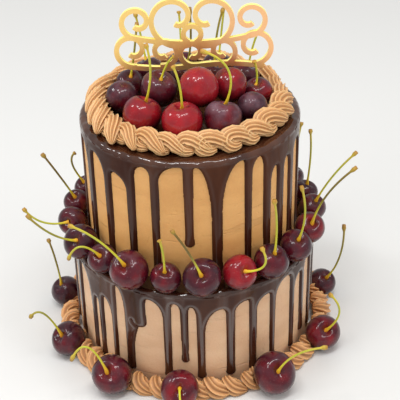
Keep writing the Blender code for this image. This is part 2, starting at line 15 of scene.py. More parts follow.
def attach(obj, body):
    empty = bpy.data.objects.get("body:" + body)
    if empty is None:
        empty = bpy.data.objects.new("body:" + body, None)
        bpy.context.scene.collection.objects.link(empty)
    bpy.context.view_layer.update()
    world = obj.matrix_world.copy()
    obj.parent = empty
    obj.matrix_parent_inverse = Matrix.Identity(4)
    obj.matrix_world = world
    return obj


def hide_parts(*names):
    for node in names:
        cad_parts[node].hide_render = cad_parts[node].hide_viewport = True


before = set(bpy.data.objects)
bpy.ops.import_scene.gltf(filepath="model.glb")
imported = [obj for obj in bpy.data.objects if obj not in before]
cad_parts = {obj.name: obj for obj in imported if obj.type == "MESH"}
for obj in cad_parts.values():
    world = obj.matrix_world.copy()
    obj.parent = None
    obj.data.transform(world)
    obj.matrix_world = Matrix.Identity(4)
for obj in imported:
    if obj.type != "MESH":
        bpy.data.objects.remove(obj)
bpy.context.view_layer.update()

LOG = logging.getLogger("cake")
MM = 0.001
GAP = 0.3
ROOT = "root"

# Sizes in mm, as in the part's source
LOWER_RADIUS, LOWER_HEIGHT = 88.0, 81.0
UPPER_RADIUS, UPPER_TOP, UPPER_SHIFT = 75.5, 175.0, 2.5
GLAZE_SKIN, GLAZE_CAP, GLAZE_SHOULDER = 1.3, 2.7, 3.5
LOWER_FOOT, LEDGE_INNER = 3.0, 71.5
GLAZE_LOWER_TOP = LOWER_HEIGHT + GAP + GLAZE_CAP
GLAZE_UPPER_TOP = UPPER_TOP + GAP + GLAZE_CAP
LOWER_OUTER = LOWER_RADIUS + GAP + GLAZE_SKIN
UPPER_OUTER = UPPER_RADIUS + GAP + GLAZE_SKIN
UPPER_AXIS = Vector((0.0, UPPER_SHIFT, 0.0))
LOWER_AXIS = Vector((0.0, 0.0, 0.0))
BAR_Z, BAR_SPACING, STROKE = 206.5, 18.0, 3.4
TOPPER_Y, TOPPER_THICKNESS = 8.0, 3.0
STICK_X, STICK_WIDTH, STICK_DEPTH = 7.0, 6.0, 40.0
ROPE_HEIGHT = 13.5

Colour = tuple[float, float, float]
Place = tuple[float, float, float]


class Slot(Enum):
    """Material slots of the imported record."""

    CREAM_LOWER = "cream_lower"
    CREAM_UPPER = "cream_upper"
    GLAZE = "glaze"
    PIPING = "piping"
    GOLD = "gold"
    CHERRY = "cherry"


def direction(azimuth: float, elevation: float = 0.0) -> Vector:
    """Unit vector towards an azimuth from the front and an elevation.

    Args:
        azimuth: Degrees from the front, positive towards +X.
        elevation: Degrees above the horizon.

    Returns:
        The unit vector.
    """
    az, el = math.radians(azimuth), math.radians(elevation)
    return Vector((math.sin(az) * math.cos(el), -math.cos(az) * math.cos(el), math.sin(el)))


def at(axis: Vector, out: Vector, radius: float, height: float) -> Vector:
    """Place at a radius and a height from an upright axis."""
    return axis + out * radius + Vector((0, 0, height))


def hill(offset: float, width: float) -> float:
    """Bell curve that is 1 at no offset."""
    return math.exp(-((offset / width) ** 2))


def ring_noise(out: Vector, level: float, around: float, along: float) -> float:
    """Smooth noise round an axis, from about -1 to 1.

    Args:
        out: Unit vector away from the axis.
        level: Height or radius in mm.
        around: How fast it changes round the axis.
        along: How fast it changes with the level.

    Returns:
        The noise.
    """
    return noise.noise(Vector((out.x * around, out.y * around, level * along)))


def smoothstep(low: float, high: float, value: float) -> float:
    """Ease from 0 at low to 1 at high."""
    share = min(max((value - low) / (high - low), 0.0), 1.0)
    return share * share * (3 - 2 * share)


class Link:
    """A shader value that takes part in sums: each operator adds the Math node that it needs."""

    def __init__(self, graph: "Graph", socket: bpy.types.NodeSocket) -> None:
        """Hold one output socket of a graph."""
        self.graph = graph
        self.socket = socket

    def _math(self, operation: str, first: "Link | float", second: "Link | float") -> "Link":
        """Add one Math node."""
        return self.graph.node("ShaderNodeMath", {"operation": operation}, {0: first, 1: second})

    def __add__(self, other: "Link | float") -> "Link":
        """Sum."""
        return self._math("ADD", self, other)

    def __radd__(self, other: float) -> "Link":
        """Sum with a number on the left."""
        return self._math("ADD", other, self)

    def __sub__(self, other: "Link | float") -> "Link":
        """Difference."""
        return self._math("SUBTRACT", self, other)

    def __rsub__(self, other: float) -> "Link":
        """Difference from a number."""
        return self._math("SUBTRACT", other, self)

    def __mul__(self, other: "Link | float") -> "Link":
        """Product."""
        return self._math("MULTIPLY", self, other)

    def __rmul__(self, other: float) -> "Link":
        """Product with a number on the left."""
        return self._math("MULTIPLY", other, self)

    def __pow__(self, other: float) -> "Link":
        """Power."""
        return self._math("POWER", self, other)

    def clipped(self) -> "Link":
        """The value kept between 0 and 1."""
        return self.graph.node("ShaderNodeClamp", {}, {0: self})

    def between(self, low: float, high: float) -> "Link":
        """The value spread from 0 at low to 1 at high, and kept there."""
        inputs = {"Value": self, "From Min": low, "From Max": high}
        return self.graph.node("ShaderNodeMapRange", {"interpolation_type": "SMOOTHSTEP"}, inputs)


class Graph:
    """The nodes of one material round its Principled shader."""

    def __init__(self, name: str) -> None:
        """Make an empty material.

        Args:
            name: The material's name.
        """
        self.material = bpy.data.materials.new(name)
        self.material.use_nodes = True
        self.tree = self.material.node_tree
        self.shader = self.tree.nodes["Principled BSDF"]
        self.place = self.node("ShaderNodeTexCoord", output="Object")

    def feed(self, socket: bpy.types.NodeSocket, value: object) -> None:
        """Link a value to a socket, or set it there."""
        if isinstance(value, Link):
            self.tree.links.new(value.socket, socket)
        elif isinstance(value, tuple) and len(value) == 3 and socket.type == "RGBA":
            socket.default_value = (*value, 1.0)
        else:
            socket.default_value = value

    def node(
        self, kind: str, settings: dict | None = None, inputs: dict | None = None, output: int | str = 0
    ) -> Link:
        """Add a node.

        Args:
            kind: The node's type.
            settings: Its own settings, among them the stops of a colour ramp.
            inputs: Values or links for its sockets, by name or index.
            output: The output that is wanted.

        Returns:
            That output.
        """
        made = self.tree.nodes.new(kind)
        for name, value in (settings or {}).items():
            if name == "stops":
                self._set_stops(made.color_ramp, value)
            else:
                setattr(made, name, value)
        for name, value in (inputs or {}).items():
            self.feed(made.inputs[name], value)
        return Link(self, made.outputs[output])

    @staticmethod
    def _set_stops(ramp: bpy.types.ColorRamp, stops: Sequence[tuple[float, Colour]]) -> None:
        """Give a colour ramp its stops."""
        while len(ramp.elements) < len(stops):
            ramp.elements.new(0.5)
        for element, (position, colour) in zip(ramp.elements, stops):
            element.position = position
            element.color = (*colour, 1.0)

    def speckle(self, scale: float, detail: float = 2.0, stretch: Place = (1.0, 1.0, 1.0)) -> Link:
        """Noise over the piece, scale in cycles a metre, squeezed along an axis by its stretch."""
        place = self.node("ShaderNodeMapping", {}, {"Vector": self.place, "Scale": stretch})
        return self.node("ShaderNodeTexNoise", {}, {"Vector": place, "Scale": scale, "Detail": detail})

    def mix(self, factor: "Link | float", first: "Link | Colour", second: "Link | Colour") -> Link:
        """Mix of two colours."""
        return self.node("ShaderNodeMix", {"data_type": "RGBA"}, {0: factor, 6: first, 7: second}, 2)

    def attribute(self, name: str) -> Link:
        """A number that the mesh carries at each point."""
        return self.node("ShaderNodeAttribute", {"attribute_name": name}, {}, "Fac")

    def bump(self, height: Link, distance: float, strength: float = 1.0) -> Link:
        """Normal from a height, its distance in metres."""
        inputs = {"Strength": strength, "Distance": distance, "Height": height}
        return self.node("ShaderNodeBump", {}, inputs, "Normal")

    def finish(self, **inputs: object) -> bpy.types.Material:
        """Feed the Principled shader, its sockets named with _ for each space."""
        for name, value in inputs.items():
            self.feed(self.shader.inputs[name.replace("_", " ")], value)
        return self.material


@dataclass(frozen=True)
class Buttercream:
    """Smoothed or piped buttercream: soft, slightly waxy, with fine pits, faint scraper marks and, where a
    colour for it is given, painted shade in the mesh's valleys.
    """

    name: str
    light: Colour
    deep: Colour
    drag: Place = (1.0, 1.0, 1.0)
    pitting: float = 0.00018
    painted_valley_shade: Colour | None = None
    marks: float = 0.0

    def material(self) -> bpy.types.Material:
        """Build the material, with painted shade in the mesh's valleys where a colour for that shade is
        given.
        """
        graph = Graph(self.name)
        cloudy = graph.speckle(22.0, 3.0, self.drag)
        grain = graph.speckle(900.0, 2.0)
        pits = graph.speckle(320.0, 3.0).between(0.60, 0.72)
        shade = (cloudy * 0.75 + grain * 0.25).between(0.32, 0.68)
        colour = graph.mix(shade, self.deep, self.light)
        colour = graph.mix(pits * 0.22, colour, self.deep)
        # Painted shade: the valley weights darken the colour in the grooves between the ridges.
        if self.painted_valley_shade:
            colour = graph.mix(graph.attribute("valley"), colour, self.painted_valley_shade)
        height = graph.speckle(70.0, 3.0, self.drag) * 0.7 + grain * 0.18 - pits * 0.5
        if self.marks:
            scraped = graph.speckle(30.0, 3.0, (0.45, 0.45, 7.0)).between(0.60, 0.67)
            colour = graph.mix(scraped * self.marks, colour, tuple(0.72 * share for share in self.deep))
            height = height - scraped * 0.6
        return graph.finish(
            Base_Color=colour,
            Roughness=0.42 + grain * 0.2,
            Normal=graph.bump(height, self.pitting * 2.0, 0.7),
            Subsurface_Weight=0.18,
            Subsurface_Radius=(0.004, 0.0022, 0.0012),
            Subsurface_Scale=1.0,
            Specular_IOR_Level=0.45,
        )


@dataclass(frozen=True)
class Ganache:
    """Poured dark glaze: wet shine over a near-black brown, uneven where it pooled."""

    name: str
    dark: Colour = (0.036, 0.0095, 0.0045)
    warm: Colour = (0.076, 0.0245, 0.0108)
    shine: float = 0.25
    streaks: float = 0.3

    def material(self) -> bpy.types.Material:
        """Build the material."""
        graph = Graph(self.name)
        flow = graph.speckle(45.0, 3.0, (1.0, 1.0, 0.35))
        ripple = graph.speckle(140.0, 2.0)
        colour = graph.mix(flow.between(0.35, 0.7), self.dark, self.warm)
        streak = graph.speckle(95.0, 2.0, (1.0, 1.0, 0.12)).between(0.50, 0.68)
        return graph.finish(
            Base_Color=colour,
            Roughness=0.08 + ripple * 0.12,
            Normal=graph.bump(flow * 0.8 + ripple * 0.2, 0.0009, 0.55),
            Coat_Weight=(graph.attribute("wet") + streak * self.streaks).clipped(),
            Coat_Roughness=0.11,
            Coat_IOR=1.75,
            Specular_IOR_Level=self.shine,
        )


@dataclass(frozen=True)
class CherrySkin:
    """Cherry skin: from bright red to near-black purple by the fruit's tone, with pale specks, bloom that is
    partly painted sheen on top, and painted shade towards the outline.
    """

    name: str = "cherry_skin"
    stops: tuple[tuple[float, Colour], ...] = (
        (0.0, (0.34, 0.010, 0.016)),
        (0.35, (0.21, 0.006, 0.012)),
        (0.7, (0.080, 0.0045, 0.011)),
        (1.0, (0.028, 0.0035, 0.010)),
    )
    speck: Colour = (0.42, 0.20, 0.18)
    haze: Colour = (0.21, 0.125, 0.155)

    def material(self) -> bpy.types.Material:
        """Build the material."""
        graph = Graph(self.name)
        mottle = graph.speckle(150.0, 3.0)
        blotch = graph.speckle(42.0, 2.0).between(0.35, 0.65) - 0.5
        # Painted shade: the skin darkens towards its outline by the angle of view, on top of the fruit's own
        # blotches.
        outline_shade = graph.node("ShaderNodeLayerWeight", {}, {"Blend": 0.40}, "Facing")
        shade = (outline_shade ** 2.0) * 0.55 + blotch * 0.16
        tone = (graph.attribute("tone") + (mottle - 0.5) * 0.42 + shade).clipped()
        colour = graph.node("ShaderNodeValToRGB", {"stops": self.stops}, {0: tone})
        dots = graph.node("ShaderNodeTexVoronoi", {}, {"Vector": graph.place, "Scale": 520.0})
        specks = 1.0 - dots.between(0.10, 0.24)
        colour = graph.mix(specks * 0.14, colour, self.speck)
        # The bloom's pale haze: a waxy bloom, and on top a painted sheen.
        bloom = graph.attribute("bloom") * graph.speckle(95.0, 4.0).between(0.35, 0.75)
        colour = graph.mix(bloom, colour, self.haze)
        return graph.finish(
            Base_Color=colour,
            Roughness=0.24 + bloom * 0.5 + mottle * 0.06,
            Normal=graph.bump(graph.speckle(260.0, 2.0) + specks * 0.15, 0.00012, 0.6),
            Coat_Weight=(0.62 - bloom * 0.9).clipped(),
            Coat_Roughness=0.07,
            Subsurface_Weight=0.08,
            Subsurface_Radius=(0.004, 0.0006, 0.0006),
            Subsurface_Scale=1.0,
            Specular_IOR_Level=0.14,
        )


@dataclass(frozen=True)
class StemSkin:
    """Cherry stem: orange where it joins the fruit, yellow-green along it and brown at its knob."""

    name: str = "cherry_stem"
    stops: tuple[tuple[float, Colour], ...] = (
        (0.0, (0.74, 0.27, 0.012)),
        (0.05, (0.78, 0.46, 0.02)),
        (0.16, (0.66, 0.62, 0.03)),
        (0.60, (0.48, 0.50, 0.04)),
        (0.90, (0.60, 0.48, 0.04)),
        (1.0, (0.46, 0.22, 0.03)),
    )
    wood: Colour = (0.105, 0.048, 0.014)
    dull: Colour = (0.14, 0.12, 0.045)

    def material(self) -> bpy.types.Material:
        """Build the material."""
        graph = Graph(self.name)
        fibre = graph.speckle(600.0, 2.0, (1.0, 1.0, 0.25))
        along = (graph.attribute("along") + (fibre - 0.5) * 0.10).clipped()
        colour = graph.node("ShaderNodeValToRGB", {"stops": self.stops}, {0: along})
        green = graph.attribute("tone").between(0.55, 0.95)
        colour = graph.mix(green * 0.25 * along.between(0.05, 0.3), colour, self.dull)
        colour = graph.mix(graph.attribute("brown"), colour, self.wood)
        rough = graph.bump(fibre, 0.0002, 0.5)
        return graph.finish(Base_Color=colour, Roughness=0.42 + fibre * 0.2, Normal=rough)


@dataclass(frozen=True)
class GoldMirror:
    """Mirror-gold face of the topper, with broad peach reflections painted into its colour and a faint
    painted glow.
    """

    name: str = "gold_mirror"
    gold: Colour = (1.0, 0.70, 0.24)
    reflected_peach: Colour = (1.0, 0.57, 0.29)
    painted_glow: Colour = (1.0, 0.62, 0.22)

    def material(self) -> bpy.types.Material:
        """Build the material."""
        graph = Graph(self.name)
        # Painted reflection: broad peach patches in the gold's colour.
        painted_reflection = graph.speckle(16.0, 1.0, (1.6, 1.0, 0.7)).between(0.42, 0.62)
        smear = graph.speckle(240.0, 3.0)
        return graph.finish(
            Base_Color=graph.mix(painted_reflection, self.gold, self.reflected_peach),
            Roughness=0.30 + smear * 0.12,
            Metallic=1.0,
            Normal=graph.bump(graph.speckle(30.0, 1.0), 0.0006, 0.25),
            # Painted light: the face glows faintly.
            Emission_Color=self.painted_glow,
            Emission_Strength=0.10,
        )


@dataclass(frozen=True)
class CutEdge:
    """Bright yellow cut edge of the gold sheet, with a faint painted glow like the lit edge of clear acrylic.
    """

    name: str = "bright_edge"
    yellow: Colour = (0.95, 0.78, 0.16)
    pale: Colour = (0.98, 0.90, 0.42)

    def material(self) -> bpy.types.Material:
        """Build the material."""
        graph = Graph(self.name)
        streak = graph.speckle(700.0, 2.0, (1.0, 0.1, 1.0))
        colour = graph.mix(streak * 0.5, self.yellow, self.pale)
        # Painted light: the edge glows faintly in its own colour.
        return graph.finish(
            Base_Color=colour, Roughness=0.18 + streak * 0.15, Emission_Color=colour, Emission_Strength=0.12
        )


def place_grid(
    shape: bmesh.types.BMesh, around: int, along: int, place: Callable[[int, int], Vector]
) -> list[bmesh.types.BMVert]:
    """Add a grid and put each of its points where a rule says.

    Args:
        shape: The mesh that it goes into.
        around: Faces in a row.
        along: Rows of faces.
        place: Gives the place in mm of a column and a row.

    Returns:
        The points, row by row, with around + 1 in each.
    """
    made = bmesh.ops.create_grid(shape, x_segments=around, y_segments=along, size=1.0)["verts"]
    for index, vert in enumerate(made):
        row, column = divmod(index, around + 1)
        vert.co = place(column, row) * MM
    return made


def close_seams(shape: bmesh.types.BMesh) -> None:
    """Merge the points that meet at seams and poles, and turn the faces outwards."""
    bmesh.ops.remove_doubles(shape, verts=shape.verts, dist=0.002 * MM)
    bmesh.ops.dissolve_degenerate(shape, edges=shape.edges, dist=0.001 * MM)
    bmesh.ops.recalc_face_normals(shape, faces=shape.faces)


def piece_from(
    name: str, shape: bmesh.types.BMesh, materials: Sequence[bpy.types.Material], slot: Slot, *nodes: str
) -> bpy.types.Object:
    """Make a piece that rides on the body and stands for CAD nodes.

    Args:
        name: The piece's name.
        shape: Its mesh, which is used up.
        materials: Its materials, in the order of their indices.
        slot: The record's material slot, which is not used.
        nodes: The CAD nodes that it replaces.

    Returns:
        The piece.
    """
    mesh = bpy.data.meshes.new(name)
    shape.to_mesh(mesh)
    shape.free()
    mesh.shade_smooth()
    for finish in materials:
        mesh.materials.append(finish)
    piece = bpy.data.objects.new(name, mesh)
    bpy.context.scene.collection.objects.link(piece)
    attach(piece, ROOT)
    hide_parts(*nodes)
    LOG.info("%s: %d faces for %s", name, len(mesh.polygons), ", ".join(nodes))
    return piece


@dataclass
class CreamTier:
    """A tier's buttercream coat, scraped smooth by hand.

    Each ripple of its wall is a weight, and how fast it changes round the tier and upwards.
    """

    name: str
    node: str
    radius: float
    bottom: float
    top: float
    axis: Vector
    slot: Slot
    finish: Buttercream
    columns: int = 220
    rows: int = 34
    shoulder: float = 2.0
    shoulder_angles: tuple[float, ...] = (30, 60, 90)
    cap_ring: float = 0.6
    wall_share: float = 0.9
    wobble: float = 0.22
    sunk: float = 0.5
    ripples: tuple[tuple[float, float, float], ...] = ((0.7, 2.2, 0.05), (0.3, 0.8, 0.7))

    def _profile(self) -> list[tuple[float, float]]:
        """Radius and height from the middle of the foot, up the wall, to the middle of the top."""
        rise = self.top - self.shoulder - self.bottom
        wall = [(self.radius, self.bottom + rise * row / self.rows) for row in range(self.rows + 1)]
        round_over = [
            (self.radius - self.shoulder * (1 - math.cos(math.radians(angle))),
             self.top - self.shoulder * (1 - math.sin(math.radians(angle))))
            for angle in self.shoulder_angles
        ]
        inner = self.radius * self.cap_ring
        foot, cap = [(0.0, self.bottom), (inner, self.bottom)], [(inner, self.top), (0.0, self.top)]
        return [*foot, *wall, *round_over, *cap]

    def build(self) -> bpy.types.Object:
        """Make the piece."""
        profile = self._profile()
        shape = bmesh.new()

        def place(column: int, row: int) -> Vector:
            """One point of the coat."""
            radius, height = profile[row]
            out = direction(360.0 * column / self.columns)
            if radius > self.radius * self.wall_share:
                waves = [weight * ring_noise(out, height, *rates) for weight, *rates in self.ripples]
                radius += self.wobble * (sum(waves) - self.sunk)
            return at(self.axis, out, radius, height)

        place_grid(shape, self.columns, len(profile) - 1, place)
        close_seams(shape)
        return piece_from(self.name, shape, [self.finish.material()], self.slot, self.node)


@dataclass(frozen=True)
class Drip:
    """One glaze drip and the bare arch to its right.

    The peak is the arch's highest place as a share of its width, and the falls are how far below it
    the arch still widens, on its left and on its right, in mm. The bow is 2 for round arches and less
    for straighter ones.
    """

    azimuth: float
    width: float
    length: float
    arch: float
    peak: float = 0.5
    fall_left: float = 6.0
    fall_right: float = 6.0
    bow: float = 2.1


UPPER_DRIPS = (
    Drip(-84, 5.5, 90, 6, 0.5, 8, 20), Drip(-64.6, 6.5, 90, 7.5, 0.2, 4, 16),
    Drip(-47.7, 5.1, 90, 14.5, 0.2, 4, 11), Drip(-32.2, 4.9, 90, 3.5, 0.55, 8, 7),
    Drip(-18.7, 4.2, 90, 0.5, 0.85, 13, 4), Drip(-1.4, 4.4, 63, 1, 0.15, 5, 42),
    Drip(12.9, 5.5, 90, 0.5, 0.9, 38, 4), Drip(30.2, 4.1, 90, 2, 0.6, 13, 11),
    Drip(42.6, 5.1, 90, 15, 0.75, 11, 5), Drip(53.1, 5.8, 90, 14, 0.5, 8, 8),
    Drip(64.4, 5.6, 84, 9, 0.5, 8, 8), Drip(80, 6, 90, 8, 0.5, 8, 8),
)
LOWER_DRIPS = (
    Drip(-83, 4.5, 72, 5, 0.5, 6, 12), Drip(-68.5, 4.4, 72, 2, 0.12, 4, 36),
    Drip(-54.2, 3.1, 70, 22, 0.4, 5, 6), Drip(-48.5, 3.3, 72, 17, 0.15, 4, 16),
    Drip(-40, 3, 72, 1.5, 0.15, 4, 22), Drip(-31.4, 4.4, 72, 29, 1.0, 20, 1, 1.25),
    Drip(-25.9, 6.4, 31, 5, 0.15, 4, 15), Drip(-12.5, 3.5, 72, 6, 0.35, 5, 8),
    Drip(-4.6, 3.1, 57, 8.5, 0.35, 6, 10), Drip(2.8, 3.5, 72, 12, 0.8, 20, 5),
    Drip(16.5, 4, 72, 9, 0.9, 8, 4), Drip(27.6, 3.8, 72, 10, 0.85, 10, 4),
    Drip(38.6, 3.1, 70, 4, 0.65, 16, 6), Drip(52.2, 3.1, 72, 10, 0.8, 11, 4),
    Drip(61.3, 3.6, 66, 3, 0.6, 10, 6), Drip(72, 3.6, 72, 6, 0.5, 8, 8),
)


# Ranges of what varies from drip to drip round the back: degrees aside, degrees wide, share of the longest,
# and the bare arch's height and falls in mm and its peak
BACK_DRIP_ASIDE, BACK_DRIP_WIDTH, BACK_DRIP_LENGTH = (-2.0, 2.0), (3.6, 6.0), (0.72, 1.0)
BACK_ARCH, BACK_FALL, BACK_PEAK = (4, 14), (5, 20), (0.25, 0.75)


@dataclass
class GlazeCoat:
    """Poured glaze on one tier: its top, its rounded rim and the drips down the wall.

    Lengths are in mm. The glaze on the wall has its full skin from the edge's width inwards. Its outline
    stands off the wall by the lip, and past it the coat is sunk in the cream. The wetness is the shine of the
    drips' middles, and the rim wetness that of the rim. It fades between pairs of lengths: up to the top,
    from the axis, in from a drip's edge, out again at its middle, and up from the lowest point.
    """

    name: str
    node: str
    drips: tuple[Drip, ...]
    spread: float
    seed: int
    wall: float
    outer: float
    top: float
    lowest: float
    inner: float
    axis: Vector
    columns: int
    wetness: float = 0.15
    rim_wetness: float = 0.75
    wet_rim: tuple[float, float] = (-5.5, -1.5)
    wet_outside: tuple[float, float] = (50.0, 60.0)
    wet_from: tuple[float, float] = (1.1, 1.8)
    wet_until: tuple[float, float] = (2.6, 3.8)
    dry_foot: tuple[float, float] = (12.0, 24.0)
    skin: float = 1.75
    edge: float = 2.1
    lip: float = 0.25
    sunk: float = -0.7
    row_step: float = 0.85
    rim_step: int = 12
    flat_shares: tuple[float, ...] = (0, 0.4, 0.7, 0.86, 0.95)
    fullness: float = 1.10
    taper: float = 0.22
    bulb: float = 0.20
    bulb_reach: float = 1.5
    curve_points: int = 50
    tip_points: int = 16
    outline_step: float = 0.3
    lumps: tuple[float, float] = (3.5, 0.035)
    fine_lumps: tuple[float, float] = (8.5, 0.08)
    lump_height: float = 0.35
    fine_height: float = 0.60
    rim_calm: float = 0.6
    bead_height: float = 0.22
    bead_rate: float = 0.21
    lump_width: float = 0.1
    lowered: float = 0.3
    thin: float = 0.86
    wall_lumps: float = 0.10
    rim_reach: float = 12.0
    all_drips: list[Drip] = field(default_factory=list)

    def _with_hidden(self) -> list[Drip]:
        """The drips that the photo shows and, past them, unevenly spaced ones round the back."""
        source, shapes = random.Random(self.seed), random.Random(self.seed + 100)
        first, last = self.drips[0].azimuth + 360.0, self.drips[-1].azimuth
        count = round((first - last) / self.spread) - 1
        step = (first - last) / (count + 1)
        longest = max(drip.length for drip in self.drips)
        hidden = []
        for index in range(count):
            azimuth = last + step * (index + 1) + source.uniform(*BACK_DRIP_ASIDE)
            width = source.uniform(*BACK_DRIP_WIDTH)
            length = longest * source.uniform(*BACK_DRIP_LENGTH)
            arch = source.uniform(*BACK_ARCH)
            falls = shapes.uniform(*BACK_FALL), shapes.uniform(*BACK_FALL)
            hidden.append(Drip(azimuth, width, length, arch, shapes.uniform(*BACK_PEAK), *falls))
        return list(self.drips) + hidden

    def _half_width(self, drip: Drip, height: np.ndarray) -> np.ndarray:
        """Half of a drip's width in mm at heights: slimmer on its way down, with a round bulb at its end."""
        base = math.radians(drip.width) / 2 * self.wall
        end = self._end(drip)
        down = np.clip((self.top - height) / drip.length, 0.0, 1.0)
        bulb = self.bulb * np.exp(-(((height - end - base) / (self.bulb_reach * base)) ** 2))
        reach = np.clip((end + base - height) / base, 0.0, 1.0)
        return base * (self.fullness - self.taper * down + bulb) * np.sqrt(1.0 - reach**2)

    def _end(self, drip: Drip) -> float:
        """Height of a drip's lowest point."""
        return max(self.top - GLAZE_SHOULDER - drip.length, self.lowest)

    def _arch_top(self, drip: Drip) -> float:
        """Height of the highest point of the bare arch to a drip's right."""
        return self.top - GLAZE_SHOULDER - drip.arch

    def _side(self, drip: Drip, after: Drip, height: np.ndarray, right: bool) -> np.ndarray:
        """Azimuth in degrees of one side of the bare arch between two drips, at heights.

        Args:
            drip: The drip on the arch's left, which holds the arch's shape.
            after: The drip on its right.
            height: Heights in mm.
            right: True for the arch's right side.

        Returns:
            The side's azimuths.
        """
        turn = math.degrees(1.0 / self.wall)
        low = drip.azimuth + self._half_width(drip, height) * turn
        high = after.azimuth - self._half_width(after, height) * turn
        peak = low + (high - low) * drip.peak
        fall, side = (drip.fall_right, high) if right else (drip.fall_left, low)
        rise = np.clip((height - (self._arch_top(drip) - fall)) / fall, 0.0, 1.0)
        return peak + (side - peak) * (1.0 - rise**drip.bow) ** (1 / drip.bow)

    def _gaps(self) -> list[tuple[Drip, Drip]]:
        """Each drip with the next one, the last with the first one a turn on."""
        turned = replace(self.all_drips[0], azimuth=self.all_drips[0].azimuth + 360.0)
        return list(zip(self.all_drips, [*self.all_drips[1:], turned]))

    def _outline(self) -> KDTree:
        """Points along the edge of the glaze, unrolled in mm, three times round so that it has no seam."""
        points = []
        curve = 1 - np.cos(np.linspace(0, math.pi / 2, self.curve_points))
        tip = 1 - np.sin(np.linspace(0, math.pi / 2, self.tip_points))
        for drip, after in self._gaps():
            arch_top = self._arch_top(drip)
            for right, owner in ((False, drip), (True, after)):
                fall = drip.fall_right if right else drip.fall_left
                end, base = self._end(owner), math.radians(owner.width) / 2 * self.wall
                straight = np.arange(end + base, arch_top - fall, self.outline_step)
                heights = np.concatenate([arch_top - fall * curve, straight, end + base * tip])
                points.append(np.stack([self._side(drip, after, heights, right), heights], axis=1))
        found = np.concatenate(points)
        tree = KDTree(len(found) * 3)
        for turn in (-1, 0, 1):
            for index, (azimuth, height) in enumerate(found):
                place = (math.radians(azimuth + 360.0 * turn) * self.wall, height, 0.0)
                tree.insert(place, index + (turn + 1) * len(found))
        tree.balance()
        return tree

    def _bare(self, azimuth: np.ndarray, height: np.ndarray) -> np.ndarray:
        """True at places where no glaze covers the wall."""
        bare = np.zeros(azimuth.shape, bool)
        first = self.all_drips[0].azimuth
        turned = first + np.mod(azimuth - first, 360.0)
        for drip, after in self._gaps():
            here = (turned >= drip.azimuth) & (turned < after.azimuth)
            left = self._side(drip, after, height, right=False)
            right = self._side(drip, after, height, right=True)
            bare |= here & (height < self._arch_top(drip)) & (turned > left) & (turned < right)
        return bare

    def _profile(self) -> list[tuple[float, float]]:
        """Radius and height from the inside of the top, over the rim and down the wall."""
        width = self.outer - GLAZE_SHOULDER - self.inner
        flat = [(self.inner + width * share, self.top) for share in self.flat_shares]
        rim = [
            (self.outer - GLAZE_SHOULDER * (1 - math.sin(math.radians(angle))),
             self.top - GLAZE_SHOULDER * (1 - math.cos(math.radians(angle))))
            for angle in range(0, 90, self.rim_step)
        ]
        count = int((self.top - GLAZE_SHOULDER - self.lowest) / self.row_step) + 2
        wall = [(self.outer, self.top - GLAZE_SHOULDER - self.row_step * row) for row in range(count)]
        return flat + rim + wall

    def _on_top(self, out: Vector, radius: float, level: float) -> Vector:
        """One point of the top or the rim, with soft lumps and small beads."""
        lumpy = ring_noise(out, level, *self.lumps)
        fine = ring_noise(out, radius, *self.fine_lumps)
        swell = self.lump_height * lumpy + self.fine_height * fine
        if radius >= self.outer - 1.0:
            swell *= self.rim_calm
        beads = self.bead_height * noise.noise(at(Vector(), out, radius, level) * self.bead_rate)
        wider = self.lump_width * lumpy + beads
        return at(self.axis, out, radius + wider, level + swell + beads - self.lowered)

    def _on_wall(self, out: Vector, level: float, inside: float, edge: Vector) -> Vector:
        """One point of the wall's glaze, thinned to nothing at its edge and sunk in the cream past it.

        Args:
            out: Unit vector from the axis.
            level: Height in mm.
            inside: How far within the glaze's edge it lies, in mm, less than 0 past the edge.
            edge: The nearest point of that edge, unrolled.

        Returns:
            The point in mm.
        """
        if abs(inside) < 0.5 * self.row_step:
            towards = direction(math.degrees(edge.x / self.wall))
            return at(self.axis, towards, self.wall + self.lip, edge.y)
        if inside < 0:
            return at(self.axis, out, self.wall + self.sunk, level)
        share = min(inside / self.edge, 1.0)
        body = self.skin * math.sqrt(1.0 - (1.0 - share) ** 2)
        near_rim = smoothstep(self.top - self.rim_reach, self.top - GLAZE_SHOULDER, level)
        lumpy = ring_noise(out, level, *self.lumps)
        full = self.thin + (1.0 - self.thin) * near_rim
        reach = body * (full + self.wall_lumps * lumpy * (1 - near_rim))
        return at(self.axis, out, self.wall + min(reach, self.outer - self.wall), level)

    def _shine(self, point: Vector, inside: float, level: float) -> float:
        """Extra shine of a point: along the rim outside the piping, and down the middle of each drip.

        Args:
            point: Its place in mm.
            inside: How far within the glaze's edge it lies, in mm.
            level: Height in mm of its row.

        Returns:
            The shine's weight.
        """
        rim = smoothstep(*self.wet_rim, point.z - self.top)
        rim *= smoothstep(*self.wet_outside, (point - self.axis).xy.length)
        middle = smoothstep(*self.wet_from, inside) * (1.0 - smoothstep(*self.wet_until, inside))
        middle *= smoothstep(*self.dry_foot, level - self.lowest)
        return max(self.rim_wetness * rim, self.wetness * middle)

    def build(self, finish: bpy.types.Material) -> bpy.types.Object:
        """Make the piece."""
        self.all_drips = self._with_hidden()
        profile = self._profile()
        outline = self._outline()
        columns = self.columns + 1
        azimuth = np.tile(np.arange(columns) * 360.0 / self.columns, (len(profile), 1))
        height = np.tile(np.array([level for _, level in profile])[:, None], (1, columns))
        bare = self._bare(azimuth, height)
        far_inside = 9.0
        depth = np.full(azimuth.shape, far_inside)
        rounding = 0.01
        shape = bmesh.new()
        wet = shape.verts.layers.float.new("wet")

